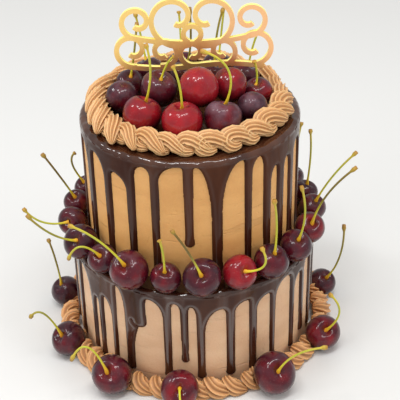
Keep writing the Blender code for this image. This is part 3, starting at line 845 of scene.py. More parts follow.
        def place(column: int, row: int) -> Vector:
            """One point of the coat."""
            radius, level = profile[row]
            angle = 360.0 * column / self.columns
            if level > self.top - GLAZE_SHOULDER + rounding:
                return self._on_top(direction(angle), radius, level)
            edge, _, distance = outline.find((math.radians(angle) * self.wall, level, 0.0))
            inside = -distance if bare[row][column] else distance
            depth[row][column] = inside
            return self._on_wall(direction(angle), level, inside, edge)

        verts = place_grid(shape, self.columns, len(profile) - 1, place)
        for vert, inside, level in zip(verts, depth.ravel(), height.ravel()):
            vert[wet] = self._shine(vert.co / MM, inside, level)
        past = {vert for vert, inside in zip(verts, depth.ravel()) if inside < -0.5 * self.row_step}
        gone = [face for face in shape.faces if all(vert in past for vert in face.verts)]
        bmesh.ops.delete(shape, geom=gone, context="FACES")
        close_seams(shape)
        self._face_outwards(shape)
        return piece_from(self.name, shape, [finish], Slot.GLAZE, self.node)

    @staticmethod
    def _face_outwards(shape: bmesh.types.BMesh) -> None:
        """Turn the open coat so that its top looks up."""
        highest = max(shape.faces, key=lambda face: face.calc_center_median().z)
        if highest.normal.z < 0:
            bmesh.ops.reverse_faces(shape, faces=shape.faces)


def eased(ends: Sequence[Vector], share: float) -> Vector:
    """Point of a smooth curve between the two middle ones of four."""
    first, second, third, fourth = ends
    return 0.5 * (
        second * 2 + (third - first) * share
        + (first * 2 - second * 5 + third * 4 - fourth) * share**2
        + (second * 3 - first - third * 3 + fourth) * share**3
    )


@dataclass(frozen=True)
class Scoop:
    """One piped scoop: its route along the ring, outwards and up, its girth and its fluting.

    The route and the girth at each of its points are in mm, and the twist is in degrees. The lobes are
    the ridges round the scoop, and the groove is the depth between them as a share of the girth.
    """

    route: tuple[tuple[float, float, float], ...]
    girth: tuple[float, ...]
    twist: float
    lobes: int
    groove: float

    def at(self, share: float) -> tuple[Vector, float]:
        """Point and girth at a share of the route's way."""
        last = len(self.route) - 1
        spot = share * last
        index = min(int(spot), last - 1)
        ends = [min(max(index + offset, 0), last) for offset in (-1, 0, 1, 2)]
        point = eased([Vector(self.route[end]) for end in ends], spot - index)
        girth = eased([Vector((self.girth[end], 0, 0)) for end in ends], spot - index).x
        return point, girth


ROPE_SCOOP = Scoop(
    route=((3.0, 1.6, 3.4), (-3.0, 1.6, 3.0), (-6.6, -1.0, 5.2), (-3.6, -3.2, 8.0), (2.6, -2.0, 8.2),
           (8.8, 1.4, 5.8), (14.4, 4.6, 2.4)),
    girth=(2.4, 4.8, 5.7, 6.3, 6.2, 5.2, 1.4),
    twist=-40.0,
    lobes=11,
    groove=0.29,
)
SHELL_SCOOP = Scoop(
    route=((-4.8, 0.6, 9.6), (-4.6, 4.2, 9.2), (-2.2, 7.6, 6.6), (2.6, 9.2, 4.2), (9.0, 10.2, 1.8)),
    girth=(2.6, 6.2, 7.2, 6.2, 1.6),
    twist=-22.0,
    lobes=9,
    groove=0.32,
)


# Ranges of what varies from scoop to scoop: its size, its shift along the ring and up in mm, its turn in
# degrees and the share of its twist
SCOOP_SIZE, SCOOP_SLIDE, SCOOP_LIFT, SCOOP_TURN = (0.90, 1.10), (-1.7, 1.7), (-0.6, 0.4), (-12, 12)
SCOOP_TWIST = (0.75, 1.25)
# Roughness of the cream: how fast it changes and its depth as a share of the girth
RAGGED = ((1.7, 0.05), (0.6, 0.11))
TORN_AROUND, TORN_ALONG, TORN_DEPTH = 4.0, 0.9, 0.05
SKIN_AROUND, SKIN_ALONG = 2.2, 0.16
# Ends of the noise field that each piece takes its own place in
NOISE_FIELD = (-50, 50)


@dataclass
class PipedRing:
    """A border of overlapping piped scoops on a ring.

    Near the fan's azimuth the scoops turn by the fan's degrees and swell by a share of their size.
    """

    name: str
    node: str
    scoop: Scoop
    count: int
    radius: float
    base: float
    axis: Vector
    seed: int
    fan: float
    fluting: int = 90
    steps: int = 26
    keep_clear: Sequence["Cherry"] = ()
    clearance: float = 0.4
    fan_azimuth: float = 292.0
    fan_spread: float = 20.0
    swell: float = 0.0
    resting: float = 0.55
    valley_power: float = 0.75

    def _spots(self, source: random.Random, azimuth: float) -> list[tuple[Vector, float, Vector]]:
        """Place, girth and outward direction at each step along one scoop."""
        size = source.uniform(*SCOOP_SIZE)
        slide = source.uniform(*SCOOP_SLIDE)
        lift = source.uniform(*SCOOP_LIFT)
        near = hill(azimuth - self.fan_azimuth, self.fan_spread)
        size *= 1.0 + self.swell * near
        turn = Matrix.Rotation(math.radians(source.uniform(*SCOOP_TURN) + self.fan * near), 3, "Z")
        spots = []
        for step in range(self.steps + 1):
            point, girth = self.scoop.at(step / self.steps)
            point = turn @ point
            girth *= size
            out = direction(azimuth + math.degrees((point.x * size + slide) / self.radius))
            height = self.base + max(point.z * size + lift, girth * self.resting)
            spots.append((at(self.axis, out, self.radius + point.y, height), girth, out))
        return spots

    def _frames(self, source: random.Random, azimuth: float) -> list[tuple[Vector, Vector, Vector, float]]:
        """Place, side, over and girth at each step along one scoop."""
        spots = self._spots(source, azimuth)
        frames, side = [], spots[0][2]
        for index, (place, girth, _) in enumerate(spots):
            before, after = spots[max(index - 1, 0)][0], spots[min(index + 1, self.steps)][0]
            along = (after - before).normalized()
            side = (side - along * side.dot(along)).normalized()
            frames.append((place, side, along.cross(side), girth))
        return frames

    def _clear(self, point: Vector) -> Vector:
        """The point, drawn back towards the wall where a cherry leans on the border."""
        out = Vector((point.x, point.y, 0.0)).normalized()
        for cherry in self.keep_clear:
            along = cherry.centre.dot(out)
            aside = cherry.centre.xy.length_squared - along * along
            reach = cherry.radius + self.clearance
            chord = reach**2 - (point.z - cherry.centre.z) ** 2 - aside
            if along > 0 and chord > 0:
                near = along - math.sqrt(chord)
                if point.xy.length > near:
                    return out * near + Vector((0, 0, point.z))
        return point

    def build(self, finish: bpy.types.Material) -> bpy.types.Object:
        """Make the piece."""
        source = random.Random(self.seed)
        shape = bmesh.new()
        # Weights for the painted shade in the grooves, which the material reads as the valley attribute.
        painted_shade_layer = shape.verts.layers.float.new("valley")
        for number in range(self.count):
            frames = self._frames(source, 360.0 * number / self.count)
            start, twist = source.uniform(0, 360), self.scoop.twist * source.uniform(*SCOOP_TWIST)
            shift = Vector([source.uniform(*NOISE_FIELD) for _ in range(3)])
            valley_shade_weights = []

            def place(column: int, row: int) -> Vector:
                """One point of the fluted skin."""
                centre, side, over, girth = frames[row]
                angle = math.radians(360.0 * column / self.fluting)
                turn = math.radians(start + twist * row / self.steps)
                valley = abs(math.sin(self.scoop.lobes / 2 * (angle + turn))) ** self.valley_power
                # Painted shade: the groove's depth, squared, is kept as the weight of the shade painted into
                # it.
                valley_shade_weights.append(valley * valley)
                cosine, sine = math.cos(angle), math.sin(angle)
                around = Vector((cosine * SKIN_AROUND, sine * SKIN_AROUND, row * SKIN_ALONG))
                ragged = sum(depth * noise.noise(around * rate + shift) for rate, depth in RAGGED)
                torn = noise.noise(Vector((angle * TORN_AROUND, row * TORN_ALONG, 0.0)) + shift)
                ragged += TORN_DEPTH * torn * (1.0 - valley)
                reach = girth * (1.0 - self.scoop.groove * valley + ragged)
                point = self._clear(centre + (side * cosine + over * sine) * reach)
                point.z = max(point.z, self.base)
                return point

            verts = place_grid(shape, self.fluting, self.steps, place)
            for vert, depth in zip(verts, valley_shade_weights):
                vert[painted_shade_layer] = depth
            self._cap(verts)
        close_seams(shape)
        return piece_from(self.name, shape, [finish], Slot.PIPING, self.node)

    def _cap(self, verts: Sequence[bmesh.types.BMVert]) -> None:
        """Draw both ends of a scoop together into its tips."""
        row = self.fluting + 1
        for ring in (verts[:row], verts[-row:]):
            middle = sum((vert.co for vert in ring), Vector()) / row
            for vert in ring:
                vert.co = middle


@dataclass(frozen=True)
class Placed:
    """A cherry set on a ring: its place, its size in mm, its dimple's direction, its stem and its tone.

    The stem's middle and tip are offsets in mm from the middle of the fruit. The tone runs from 0, bright
    red, to 1, near black.
    """

    azimuth: float
    diameter: float
    lean: tuple[float, float]
    middle: Place
    tip: Place
    tone: float = 0.8
    brown: float = 0.0
    haze: float = 0.10


LEDGE_CHERRIES = (
    Placed(-113, 19.0, (-45, 70), (-9, -5, 24), (-6, -5, 34), 0.9, 0.6),
    Placed(-98.5, 19.5, (-15, 70), (-10, -6, 27), (-21, -6, 46), 0.9, 0.8),
    Placed(-81, 21.0, (-25, 25), (-20, -10, 6), (-33, -10, 18), 0.75),
    Placed(-61, 24.4, (-25, 40), (-18, -12, 15), (-34, -12, 31), 0.95, 0.45),
    Placed(-45.5, 20.6, (-15, 50), (-13, -10, 17), (-22, -10, 7), 0.8),
    Placed(-28.2, 27.0, (-35, 55), (-18, -11, 32), (-37, -10, 44), 0.68),
    Placed(-12.1, 21.0, (-15, 70), (-1, -7, 25), (-3, -7, 36), 0.75),
    Placed(3.7, 26.0, (-5, 45), (-9, -12, 30), (-19, -11, 46), 0.88, 0.85),
    Placed(20.3, 23.6, (35, 35), (16, -11, 13), (14, -10, 27), 0.25),
    Placed(36.3, 24.4, (60, 70), (3, -4, 32), (1, -5, 53), 0.75),
    Placed(53.5, 22.8, (30, 65), (5, -7, 30), (2, -7, 53), 0.8),
    Placed(70, 22.0, (20, 55), (11, -8, 33), (30, -8, 54), 0.6, 0.8),
    Placed(88.5, 20.4, (70, 65), (14, -5, 30), (30, -5, 49), 0.85),
    Placed(103.5, 19.0, (110, 75), (3, -3, 34), (2, -3, 55), 0.95),
)
BASE_CHERRIES = (
    Placed(-99.2, 22.8, (-83, 64), (-5, -4, 32), (-9, -4, 52), 0.95, 0.6),
    Placed(-64.5, 25.2, (-56, 46), (-15, -8, 30), (-25, -8, 27), 0.85, 0.35),
    Placed(-34.3, 28.2, (-27, 45), (-14, -12, 35), (-26, -12, 24), 0.68),
    Placed(-6.4, 26.8, (3, 45), (1, -23, 6), (4, -40, -12), 0.62),
    Placed(31.2, 30.0, (19, 43), (14, -12, 26), (35, -12, 32), 0.75),
    Placed(64.7, 25.6, (18, 48), (10, -11, 27), (2, -11, 44), 0.62),
    Placed(101.5, 21.8, (60, 55), (12, -9, 31), (14, -9, 60), 0.9, 0.5),
)


@dataclass(frozen=True)
class Heaped:
    """A cherry in the heap on top: where it starts in mm, how high it lies, its size, stem and tone."""

    x: float
    y: float
    rise: float
    diameter: float
    lean: tuple[float, float]
    middle: Place
    tip: Place
    tone: float = 0.8
    haze: float = 0.10
    brown: float = 0.0


HEAP_CHERRIES = (
    Heaped(-31.7, -31.5, 0, 26.6, (132, 66), (7, -4, 32), (5, -4, 53), 0.26, 0.03),
    Heaped(-4.8, -43.7, 0, 27.6, (175, 82), (-1, -7, 30), (-5, -7, 44), 0.20, 0.03),
    Heaped(23.0, -40.0, 0, 25.8, (160, 66), (4, -4, 36), (-14, -4, 51), 0.66, 0.70),
    Heaped(41.5, -19.5, 0, 21.0, (170, 10), (1.3, 7.6, 1.4), (1.6, 9.2, 1.6), 0.86, 0.60),
    Heaped(46.5, 3.0, 0, 20.8, (-60, 75), (-1, 0, 15), (-3, 0, 24), 0.6),
    Heaped(-46.0, -2.0, 0, 22.8, (-150, 10), (-4.2, 7.3, 1.5), (-5, 8.7, 1.8), 0.82, 0.55),
    Heaped(-42.0, 21.0, 0, 20.4, (30, 72), (4, 2, 22), (7, 6, 44), 0.8, 0.1, 0.5),
    Heaped(-20.4, -5.0, 7, 25.6, (40, 72), (6, -2, 19), (11, -2, 25), 0.76, 0.24),
    Heaped(8.4, -18.5, 12, 27.0, (160, -20), (3.2, 8.9, -3.5), (3.9, 10.8, -4.2), 0.15),
    Heaped(29.0, -1.0, 8, 24.0, (170, 10), (1.5, 8.7, 1.6), (1.8, 10.5, 1.9), 0.42),
    Heaped(-4.5, 24.0, 4, 20.0, (60, 75), (6, 2, 22), (6, 4, 50), 0.85, 0.1, 0.7),
    Heaped(17.0, 24.5, 3, 20.0, (150, 65), (3, 5, 28), (8, 8, 48), 0.85, 0.1, 0.5),
)
HEAP_RADIUS, HEAP_REACH, HEAP_UNDERCUT, HEAP_STEPS = 46.5, 56.6, 0.78, 400
BACK_AZIMUTHS, BACK_DIAMETER, BACK_LEAN = (122, 154, 186, 218), 21.6, 62
SHOWN_IN_HEAP, SHOWN_SHARE, SHELL_CONTACT = 11, 0.15, 1.7


@dataclass(frozen=True)
class FruitForm:
    """How a fruit departs from a ball: depths and widths as shares of its radius, angles in radians."""

    crowding: float = 0.94
    shoulders: float = 0.045
    dimple_depth: float = 0.37
    dimple_width: float = 0.33
    notch_depth: float = 0.10
    notch_angle: float = 0.45
    notch_place: float = 0.42
    notch_width: float = 0.26
    foot: float = 0.955
    dent_depth: float = 0.05
    dent_width: float = 0.12
    suture_depth: float = 0.022
    suture_angle: float = 0.16
    suture_foot: float = -0.9
    suture_top: float = 0.3
    oval: float = 0.022

    def section(self, share: float, longitude: float, suture: float) -> tuple[float, float]:
        """Half width and height at a place on the skin, as shares of the radius.

        Args:
            share: The place's share of the way from the foot to the dimple.
            longitude: Its angle round the fruit.
            suture: The angle of the suture, where the fruit is creased.

        Returns:
            The half width and the height.
        """
        latitude = math.radians(-90.0 + 180.0 * share**self.crowding)
        width, height = math.cos(latitude), math.sin(latitude)
        aside = (longitude - suture + math.pi) % (2 * math.pi) - math.pi
        if height > 0:
            width *= 1.0 + self.shoulders * math.sin(math.pi * height)
            notch = hill(aside, self.notch_angle) * hill(width - self.notch_place, self.notch_width)
            height -= self.dimple_depth * hill(width, self.dimple_width) + self.notch_depth * notch
        else:
            height = height * self.foot + self.dent_depth * hill(width, self.dent_width)
        crease = hill(aside, self.suture_angle) * smoothstep(self.suture_foot, self.suture_top, height)
        flat = 1.0 + self.oval * math.cos(2 * (longitude - suture))
        return width * (1.0 - self.suture_depth * crease) * flat, height


@dataclass(frozen=True)
class FruitTint:
    """How a fruit's tone and bloom vary over its skin, with painted shade at the foot of a red fruit and
    painted sheen in the bloom on top.
    """

    cloud_rate: float = 2.3
    cloud_tone: float = 0.24
    cloud_bloom: float = 0.25
    pale_side: float = 0.20
    foot_shade_tone: float = 0.65
    foot_shade_from: float = 0.1
    foot_shade_to: float = -0.9
    bloom_below: float = 0.35

    def tone(self, base: float, out: Vector, cloud: float, light_side: Vector) -> float:
        """Tone at a place: cloudy, paler on one side, and darker at the foot of a red fruit, which is painted
        shade.
        """
        # Painted shade: the foot of a red fruit is darkened.
        foot_shade = max(self.foot_shade_tone - base, 0.0) * smoothstep(self.foot_shade_from, self.foot_shade_to, out.z)
        return base + self.cloud_tone * cloud - self.pale_side * max(out.dot(light_side), 0.0) + foot_shade

    def bloom(self, haze: float, out: Vector, cloud: float) -> float:
        """Bloom at a place: cloudy, and stronger on top, where the gain is painted sheen."""
        # Painted sheen: the bloom's pale haze grows towards the top.
        top_sheen = self.bloom_below + (1.0 - self.bloom_below) * max(out.z, 0.0)
        return max(0.0, haze + self.cloud_bloom * cloud) * top_sheen


@dataclass(frozen=True)
class StemForm:
    """A stem's radius in mm and how woody it is, by shares of its way from the fruit to its knob."""

    slim: float = 0.70
    widening: float = 0.10
    flare: float = 1.05
    flare_rate: float = 20
    knob: float = 1.05
    knob_from: float = 0.90
    knob_to: float = 0.97
    wood_from: float = 0.12
    wood_to: float = 0.45
    knob_clear: float = 0.7
    clear_from: float = 0.88
    clear_to: float = 0.96

    def girth(self, share: float) -> float:
        """Its radius: flared at the fruit, slim along its middle, with a knob at its end."""
        flare = self.flare * math.exp(-share * self.flare_rate)
        knob = self.knob * smoothstep(self.knob_from, self.knob_to, share)
        return self.slim + flare + knob + self.widening * share

    def wood(self, share: float) -> float:
        """Its share of brown, which fades in along the stem and out at the knob."""
        fading = 1.0 - self.knob_clear * smoothstep(self.clear_from, self.clear_to, share)
        return smoothstep(self.wood_from, self.wood_to, share) * fading


@dataclass
class Cherry:
    """A fruit with its stem, in mm, at the place that its CAD node has."""

    node: str
    centre: Vector
    radius: float
    axis: Vector
    middle: Vector
    tip: Vector
    floor: float
    tone: float
    haze: float = 0.10
    brown: float = 0.0
    meridians: int = 40
    rings: int = 26
    stem_sides: int = 9
    stem_steps: int = 20
    root: float = 0.97
    suture_turn: float = 0.8
    lump_rate: float = 1.6
    lump_depth: float = 0.012
    form: FruitForm = FruitForm()
    tint: FruitTint = FruitTint()
    stem: StemForm = StemForm()

    def _frame(self) -> tuple[Vector, Vector]:
        """Two directions square to the fruit's axis."""
        side = self.axis.cross(Vector((0.0, 0.0, 1.0)))
        if side.length < 0.1:
            side = Vector((1.0, 0.0, 0.0))
        side.normalize()
        return side, self.axis.cross(side).normalized()

    def _add_fruit(self, shape: bmesh.types.BMesh, source: random.Random) -> float:
        """Add the fruit and set its tone and bloom.

        Args:
            shape: The mesh that it goes into.
            source: Random numbers of this fruit.

        Returns:
            How far it was raised, in mm, so that it rests on its floor.
        """
        side, over = self._frame()
        suture = math.atan2(-over.y, -side.y) + source.uniform(-self.suture_turn, self.suture_turn)
        shift = Vector([source.uniform(*NOISE_FIELD) for _ in range(3)])
        light_side = direction(source.uniform(0, 360), source.uniform(-80, -20))

        def place(column: int, row: int) -> Vector:
            """One point of the fruit's skin, as an offset from its middle."""
            longitude = 2 * math.pi * column / self.meridians
            width, height = self.form.section(row / self.rings, longitude, suture)
            around = side * math.cos(longitude) + over * math.sin(longitude)
            return (around * width + self.axis * height) * self.radius

        verts = place_grid(shape, self.meridians, self.rings, place)
        layers = shape.verts.layers.float
        for vert in verts:
            out = vert.co.normalized()
            lump = noise.noise(out * self.lump_rate + shift)
            vert.co += out * (lump * self.lump_depth * self.radius * MM)
            cloud = noise.noise(out * self.tint.cloud_rate - shift)
            vert[layers["tone"]] = self.tint.tone(self.tone, out, cloud, light_side)
            vert[layers["bloom"]] = self.tint.bloom(self.haze, out, cloud)
        lift = self.floor - self.centre.z - min(vert.co.z for vert in verts) / MM
        for vert in verts:
            vert.co += (self.centre + Vector((0, 0, lift))) * MM
        return lift

    def _stem_route(self, lift: float) -> list[Vector]:
        """Points of the stem from inside the dimple to its end."""
        rise = Vector((0, 0, lift))
        pit = self.centre + self.axis * self.radius * (self.root - self.form.dimple_depth)
        middle, tip = self.centre + self.middle, self.centre + self.tip
        control = middle * 2 - (pit + tip) / 2
        route = []
        for step in range(self.stem_steps + 1):
            share = step / self.stem_steps
            route.append(pit * (1 - share) ** 2 + control * 2 * share * (1 - share) + tip * share**2 + rise)
        return route

    def _stem_frames(self, route: Sequence[Vector]) -> list[tuple[Vector, Vector]]:
        """Two directions square to the stem at each of its points."""
        frames, side = [], self._frame()[0]
        for step in range(self.stem_steps + 1):
            before, after = route[max(step - 1, 0)], route[min(step + 1, self.stem_steps)]
            heading = (after - before).normalized()
            side = (side - heading * side.dot(heading)).normalized()
            frames.append((side, heading.cross(side)))
        return frames

    def _add_stem(self, shape: bmesh.types.BMesh, lift: float, source: random.Random) -> None:
        """Add the stem with a rounded knob."""
        route = self._stem_route(lift)
        frames = self._stem_frames(route)
        last, shrunk = self.stem_steps, 0.75
        uneven = [source.uniform(0.85, 1.15) for _ in range(self.stem_sides)]

        def place(column: int, row: int) -> Vector:
            """One point of the stem's skin."""
            first, second = frames[row]
            angle = 2 * math.pi * column / self.stem_sides
            girth = self.stem.girth(row / last)
            if row >= last - 1:
                girth *= uneven[column % self.stem_sides]
            if row == last:
                girth *= shrunk
            return route[row] + (first * math.cos(angle) + second * math.sin(angle)) * girth

        verts = place_grid(shape, self.stem_sides, last, place)
        shares = [(index // (self.stem_sides + 1)) / last for index in range(len(verts))]
        self._dress_stem(shape, verts, shares)
        self._close_tip(shape, verts, route[-1])

    def _dress_stem(
        self, shape: bmesh.types.BMesh, verts: Sequence[bmesh.types.BMVert], shares: Sequence[float]
    ) -> None:
        """Give points of the stem their shares of its way, their tone and brown, and the stem's material."""
        layers = shape.verts.layers.float
        for vert, share in zip(verts, shares):
            vert[layers["along"]] = share
            vert[layers["tone"]] = self.tone
            vert[layers["brown"]] = self.brown * self.stem.wood(share)
        for face in {face for vert in verts for face in vert.link_faces}:
            face.material_index = 1

    def _close_tip(self, shape: bmesh.types.BMesh, verts: Sequence[bmesh.types.BMVert], tip: Vector) -> None:
        """Close the knob with a fan of faces round its middle."""
        ring = verts[-(self.stem_sides + 1):]
        edges = [
            edge for edge in {edge for vert in ring for edge in vert.link_edges}
            if all(vert in ring for vert in edge.verts)
        ]
        made = bmesh.ops.extrude_edge_only(shape, edges=edges)["geom"]
        fresh = [item for item in made if isinstance(item, bmesh.types.BMVert)]
        for vert in fresh:
            vert.co = tip * MM
        self._dress_stem(shape, fresh, [1.0] * len(fresh))

    def build(self, finishes: Sequence[bpy.types.Material]) -> bpy.types.Object:
        """Make the piece."""
        source = random.Random(self.node)
        shape = bmesh.new()
        for layer in ("tone", "bloom", "along", "brown"):
            shape.verts.layers.float.new(layer)
        lift = self._add_fruit(shape, source)
        self._add_stem(shape, lift, source)
        close_seams(shape)
        name = self.node.replace("cherry", "fresh_cherry")
        return piece_from(name, shape, finishes, Slot.CHERRY, self.node)


# Cherries that the photo doesn't show: how many, their size in mm and the seed of what varies
HIDDEN_BASE_COUNT, HIDDEN_BASE_DIAMETER, HIDDEN_BASE_SEED = 3, 24.0, 3
HIDDEN_LEDGE_COUNT, HIDDEN_LEDGE_DIAMETER, HIDDEN_LEDGE_SEED = 8, 20.4, 4
# Ranges of what varies among them: the stem's reach in mm, the size as a share, the turn and the rise of
# the dimple in degrees, the stem's drift and height in mm, the tone and the share of brown
HIDDEN_REACH, HIDDEN_SIZE, HIDDEN_TURN, HIDDEN_RISE = (8, 16), (0.95, 1.06), (-25, 25), (55, 78)
HIDDEN_DRIFT, HIDDEN_HEIGHT, HIDDEN_TONE, HIDDEN_BROWN = (-6, 6), (40, 48), (0.5, 0.95), (0, 0.8)
HIDDEN_BEND = 26


@dataclass
class CherryLayout:
    """Where every cherry lies, by the rules of the part's source."""

    ledge_floor: float = GLAZE_LOWER_TOP + GAP
    heap_floor: float = GLAZE_UPPER_TOP + GAP

    @staticmethod
    def _hidden(placed: Sequence[Placed], count: int, diameter: float, seed: int) -> list[Placed]:
        """Cherries round the back, evenly spaced between the last seen one and the first."""
        source, tones = random.Random(seed), random.Random(seed + 50)
        start, stop = placed[-1].azimuth, placed[0].azimuth + 360.0
        step = (stop - start) / (count + 1)
        result = []
        for index in range(count):
            azimuth = start + step * (index + 1)
            out = direction(azimuth)
            reach = source.uniform(*HIDDEN_REACH)
            size = diameter * source.uniform(*HIDDEN_SIZE)
            lean = (azimuth + source.uniform(*HIDDEN_TURN), source.uniform(*HIDDEN_RISE))
            middle = (out.x * reach * 0.5, out.y * reach * 0.5, HIDDEN_BEND)
            drift, height = source.uniform(*HIDDEN_DRIFT), source.uniform(*HIDDEN_HEIGHT)
            tip = (out.x * reach * 1.5 + drift, out.y * reach * 1.5, height)
            tone, brown = tones.uniform(*HIDDEN_TONE), tones.uniform(*HIDDEN_BROWN)
            result.append(Placed(azimuth, size, lean, middle, tip, tone, brown))
        return result

    @staticmethod
    def _cherry(node: str, one: "Placed | Heaped", centre: Vector, floor: float) -> Cherry:
        """Cherry from its row, its middle and the height that it rests on."""
        stem = Vector(one.middle), Vector(one.tip)
        looks = one.tone, one.haze, one.brown
        return Cherry(node, centre, one.diameter / 2, direction(*one.lean), *stem, floor, *looks)

    def _ring(
        self, prefix: str, placed: Sequence[Placed], axis: Vector, contact: float, floor: float
    ) -> list[Cherry]:
        """Cherries on one ring, touching the wall at the contact radius."""
        result = []
        for number, one in enumerate(placed, 1):
            radius = one.diameter / 2
            centre = axis + direction(one.azimuth) * (contact + radius)
            centre.z = floor + radius
            result.append(self._cherry(f"{prefix}_{number:02d}", one, centre, floor))
        return result

    def base(self) -> list[Cherry]:
        """Cherries round the foot."""
        hidden = self._hidden(BASE_CHERRIES, HIDDEN_BASE_COUNT, HIDDEN_BASE_DIAMETER, HIDDEN_BASE_SEED)
        contact = LOWER_OUTER + SHELL_CONTACT
        return self._ring("cherry_base", [*BASE_CHERRIES, *hidden], LOWER_AXIS, contact, 0.0)

    def ledge(self) -> list[Cherry]:
        """Cherries on the ledge."""
        hidden = self._hidden(LEDGE_CHERRIES, HIDDEN_LEDGE_COUNT, HIDDEN_LEDGE_DIAMETER, HIDDEN_LEDGE_SEED)
        contact = UPPER_OUTER + 2 * GAP
        return self._ring("cherry_ledge", [*LEDGE_CHERRIES, *hidden], UPPER_AXIS, contact, self.ledge_floor)

    def _heap_start(self) -> list[Cherry]:
        """The heap before its cherries are pushed apart, with hidden ones round its back rim."""
        heaped = list(HEAP_CHERRIES)
        for azimuth in BACK_AZIMUTHS:
            out = direction(azimuth)
            x, y = out.x * HEAP_RADIUS, out.y * HEAP_RADIUS + UPPER_SHIFT
            length = 40 + 6 * math.sin(math.radians(5 * azimuth))
            stem = (out.x * 8, out.y * 8, 24), (out.x * 14, out.y * 12, length)
            heaped.append(Heaped(x, y, 0, BACK_DIAMETER, (azimuth, BACK_LEAN), *stem))
        result = []
        for number, one in enumerate(heaped, 1):
            floor = self.heap_floor + one.rise
            centre = Vector((one.x, one.y, floor + one.diameter / 2))
            result.append(self._cherry(f"cherry_top_{number:02d}", one, centre, floor))
        return result

    def heap(self) -> list[Cherry]:
        """The heap, its cherries pushed sideways until none touches another, the rope or the stick."""
        cherries = self._heap_start()
        shown = cherries[:SHOWN_IN_HEAP]
        for _ in range(HEAP_STEPS):
            for index, one in enumerate(cherries):
                for other in cherries[index + 1:]:
                    self._part_pair(one, other, shown)
            for one in cherries:
                self._part_from_fixtures(one)
        return cherries

    @staticmethod
    def _part_pair(one: Cherry, other: Cherry, shown: Sequence[Cherry]) -> None:
        """Push two cherries apart sideways, one that the photo shows less than a hidden one."""
        apart = one.centre - other.centre
        lack = one.radius + other.radius + 2 * GAP - apart.length
        if lack > 0:
            share = 0.5 if other in shown or one not in shown else SHOWN_SHARE
            push = apart.xy.normalized() * lack
            one.centre.xy += push * share
            other.centre.xy -= push * (1 - share)

    @staticmethod
    def _part_from_fixtures(one: Cherry) -> None:
        """Push a cherry off the stick, the rope and the topper's plate."""
        from_stick = one.centre.xy - Vector((STICK_X, TOPPER_Y))
        lack = one.radius + STICK_WIDTH / 2 + GAP - from_stick.length
        if lack > 0:
            one.centre.xy += from_stick.normalized() * lack
        if one.floor < GLAZE_UPPER_TOP + ROPE_HEIGHT / 3:
            from_axis = one.centre.xy - UPPER_AXIS.xy
            excess = from_axis.length - (HEAP_REACH - HEAP_UNDERCUT * one.radius)
            if excess > 0:
                one.centre.xy -= from_axis.normalized() * excess
        if one.centre.z + one.radius > BAR_Z - STROKE:
            one.centre.y = min(one.centre.y, TOPPER_Y - TOPPER_THICKNESS / 2 - GAP - one.radius)


# Scrolls in the row between the bars: each one's x and radius in mm and how far it turns in degrees
ROW_SCROLLS = ((-38, 13, -400), (-17, 11, 400), (3, 10, -400), (23, 11, 400), (45, 14, 400))
ROW_LEAN, ROW_EYE = 12, 0.32

Stroke = list[tuple[float, float]]


